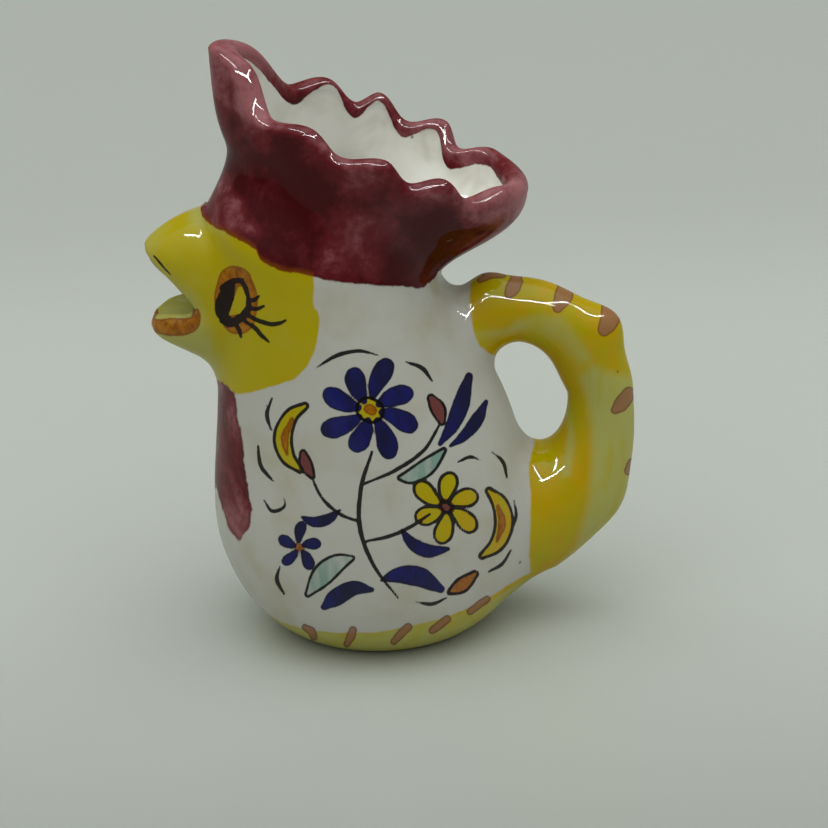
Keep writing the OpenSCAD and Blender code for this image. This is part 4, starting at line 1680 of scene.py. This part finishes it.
def need_clay():
    """Works out the clay and the brush lines once, before the first piece is made."""
    if not hasattr(clay, "vessel"):
        work_clay()
        clay.lines = brush_lines()


class PITCHER_OT_foot(bpy.types.Operator):
    """Make the foot that the pitcher stands on"""

    bl_idname = "pitcher.foot"
    bl_label = "Foot"

    def execute(self, context):
        need_clay()
        make_foot()
        return {"FINISHED"}


class PITCHER_OT_body(bpy.types.Operator):
    """Make the thrown body with its painting"""

    bl_idname = "pitcher.body"
    bl_label = "Body"

    def execute(self, context):
        need_clay()
        make_body()
        return {"FINISHED"}


class PITCHER_OT_comb(bpy.types.Operator):
    """Make the crimped comb that is the mouth"""

    bl_idname = "pitcher.comb"
    bl_label = "Comb"

    def execute(self, context):
        need_clay()
        make_comb()
        return {"FINISHED"}


class PITCHER_OT_beaks(bpy.types.Operator):
    """Make the upper and the lower beak"""

    bl_idname = "pitcher.beaks"
    bl_label = "Beaks"

    def execute(self, context):
        need_clay()
        make_face()
        return {"FINISHED"}


class PITCHER_OT_tail_handle(bpy.types.Operator):
    """Make the horn-shaped tail that is the handle"""

    bl_idname = "pitcher.tail_handle"
    bl_label = "Tail handle"

    def execute(self, context):
        need_clay()
        make_horn()
        return {"FINISHED"}


class PITCHER_OT_studio(bpy.types.Operator):
    """Make the floor, the lamps and the camera"""

    bl_idname = "pitcher.studio"
    bl_label = "Studio"

    def execute(self, context):
        make_backdrop()
        make_studio()
        make_camera()
        return {"FINISHED"}


STEPS = (
    PITCHER_OT_foot,
    PITCHER_OT_body,
    PITCHER_OT_comb,
    PITCHER_OT_beaks,
    PITCHER_OT_tail_handle,
    PITCHER_OT_studio,
)


class PITCHER_PT_panel(bpy.types.Panel):
    """Lists the pieces with their sizes and colours"""

    bl_label = "Rooster Pitcher"
    bl_idname = "PITCHER_PT_panel"
    bl_space_type = "VIEW_3D"
    bl_region_type = "UI"
    bl_category = "Rooster Pitcher"

    def draw(self, context):
        for step in STEPS:
            self.layout.operator(step.bl_idname)
        for group in ("pitcher_sizes", "pitcher_counts", "pitcher_colours", "pitcher_studio"):
            settings = getattr(context.scene, group)
            column = self.layout.column(align=True)
            for key in settings.__annotations__:
                column.prop(settings, key)


GROUPS = {
    "pitcher_sizes": PitcherSizes,
    "pitcher_counts": PitcherCounts,
    "pitcher_colours": GlazeColours,
    "pitcher_studio": StudioSettings,
}


def register():
    """Registers the groups, the operators and the panel."""
    for name, group in GROUPS.items():
        bpy.utils.register_class(group)
        setattr(bpy.types.Scene, name, PointerProperty(type=group))
    for item in (*STEPS, PITCHER_PT_panel):
        bpy.utils.register_class(item)


def unregister():
    """Takes all of them away again."""
    for item in (PITCHER_PT_panel, *reversed(STEPS)):
        bpy.utils.unregister_class(item)
    for name, group in GROUPS.items():
        delattr(bpy.types.Scene, name)
        bpy.utils.unregister_class(group)


def main():
    """Makes every piece and the studio."""
    register()
    for step in ("foot", "body", "comb", "beaks", "tail_handle", "studio"):
        getattr(bpy.ops.pitcher, step)()


if __name__ == "__main__":
    main()
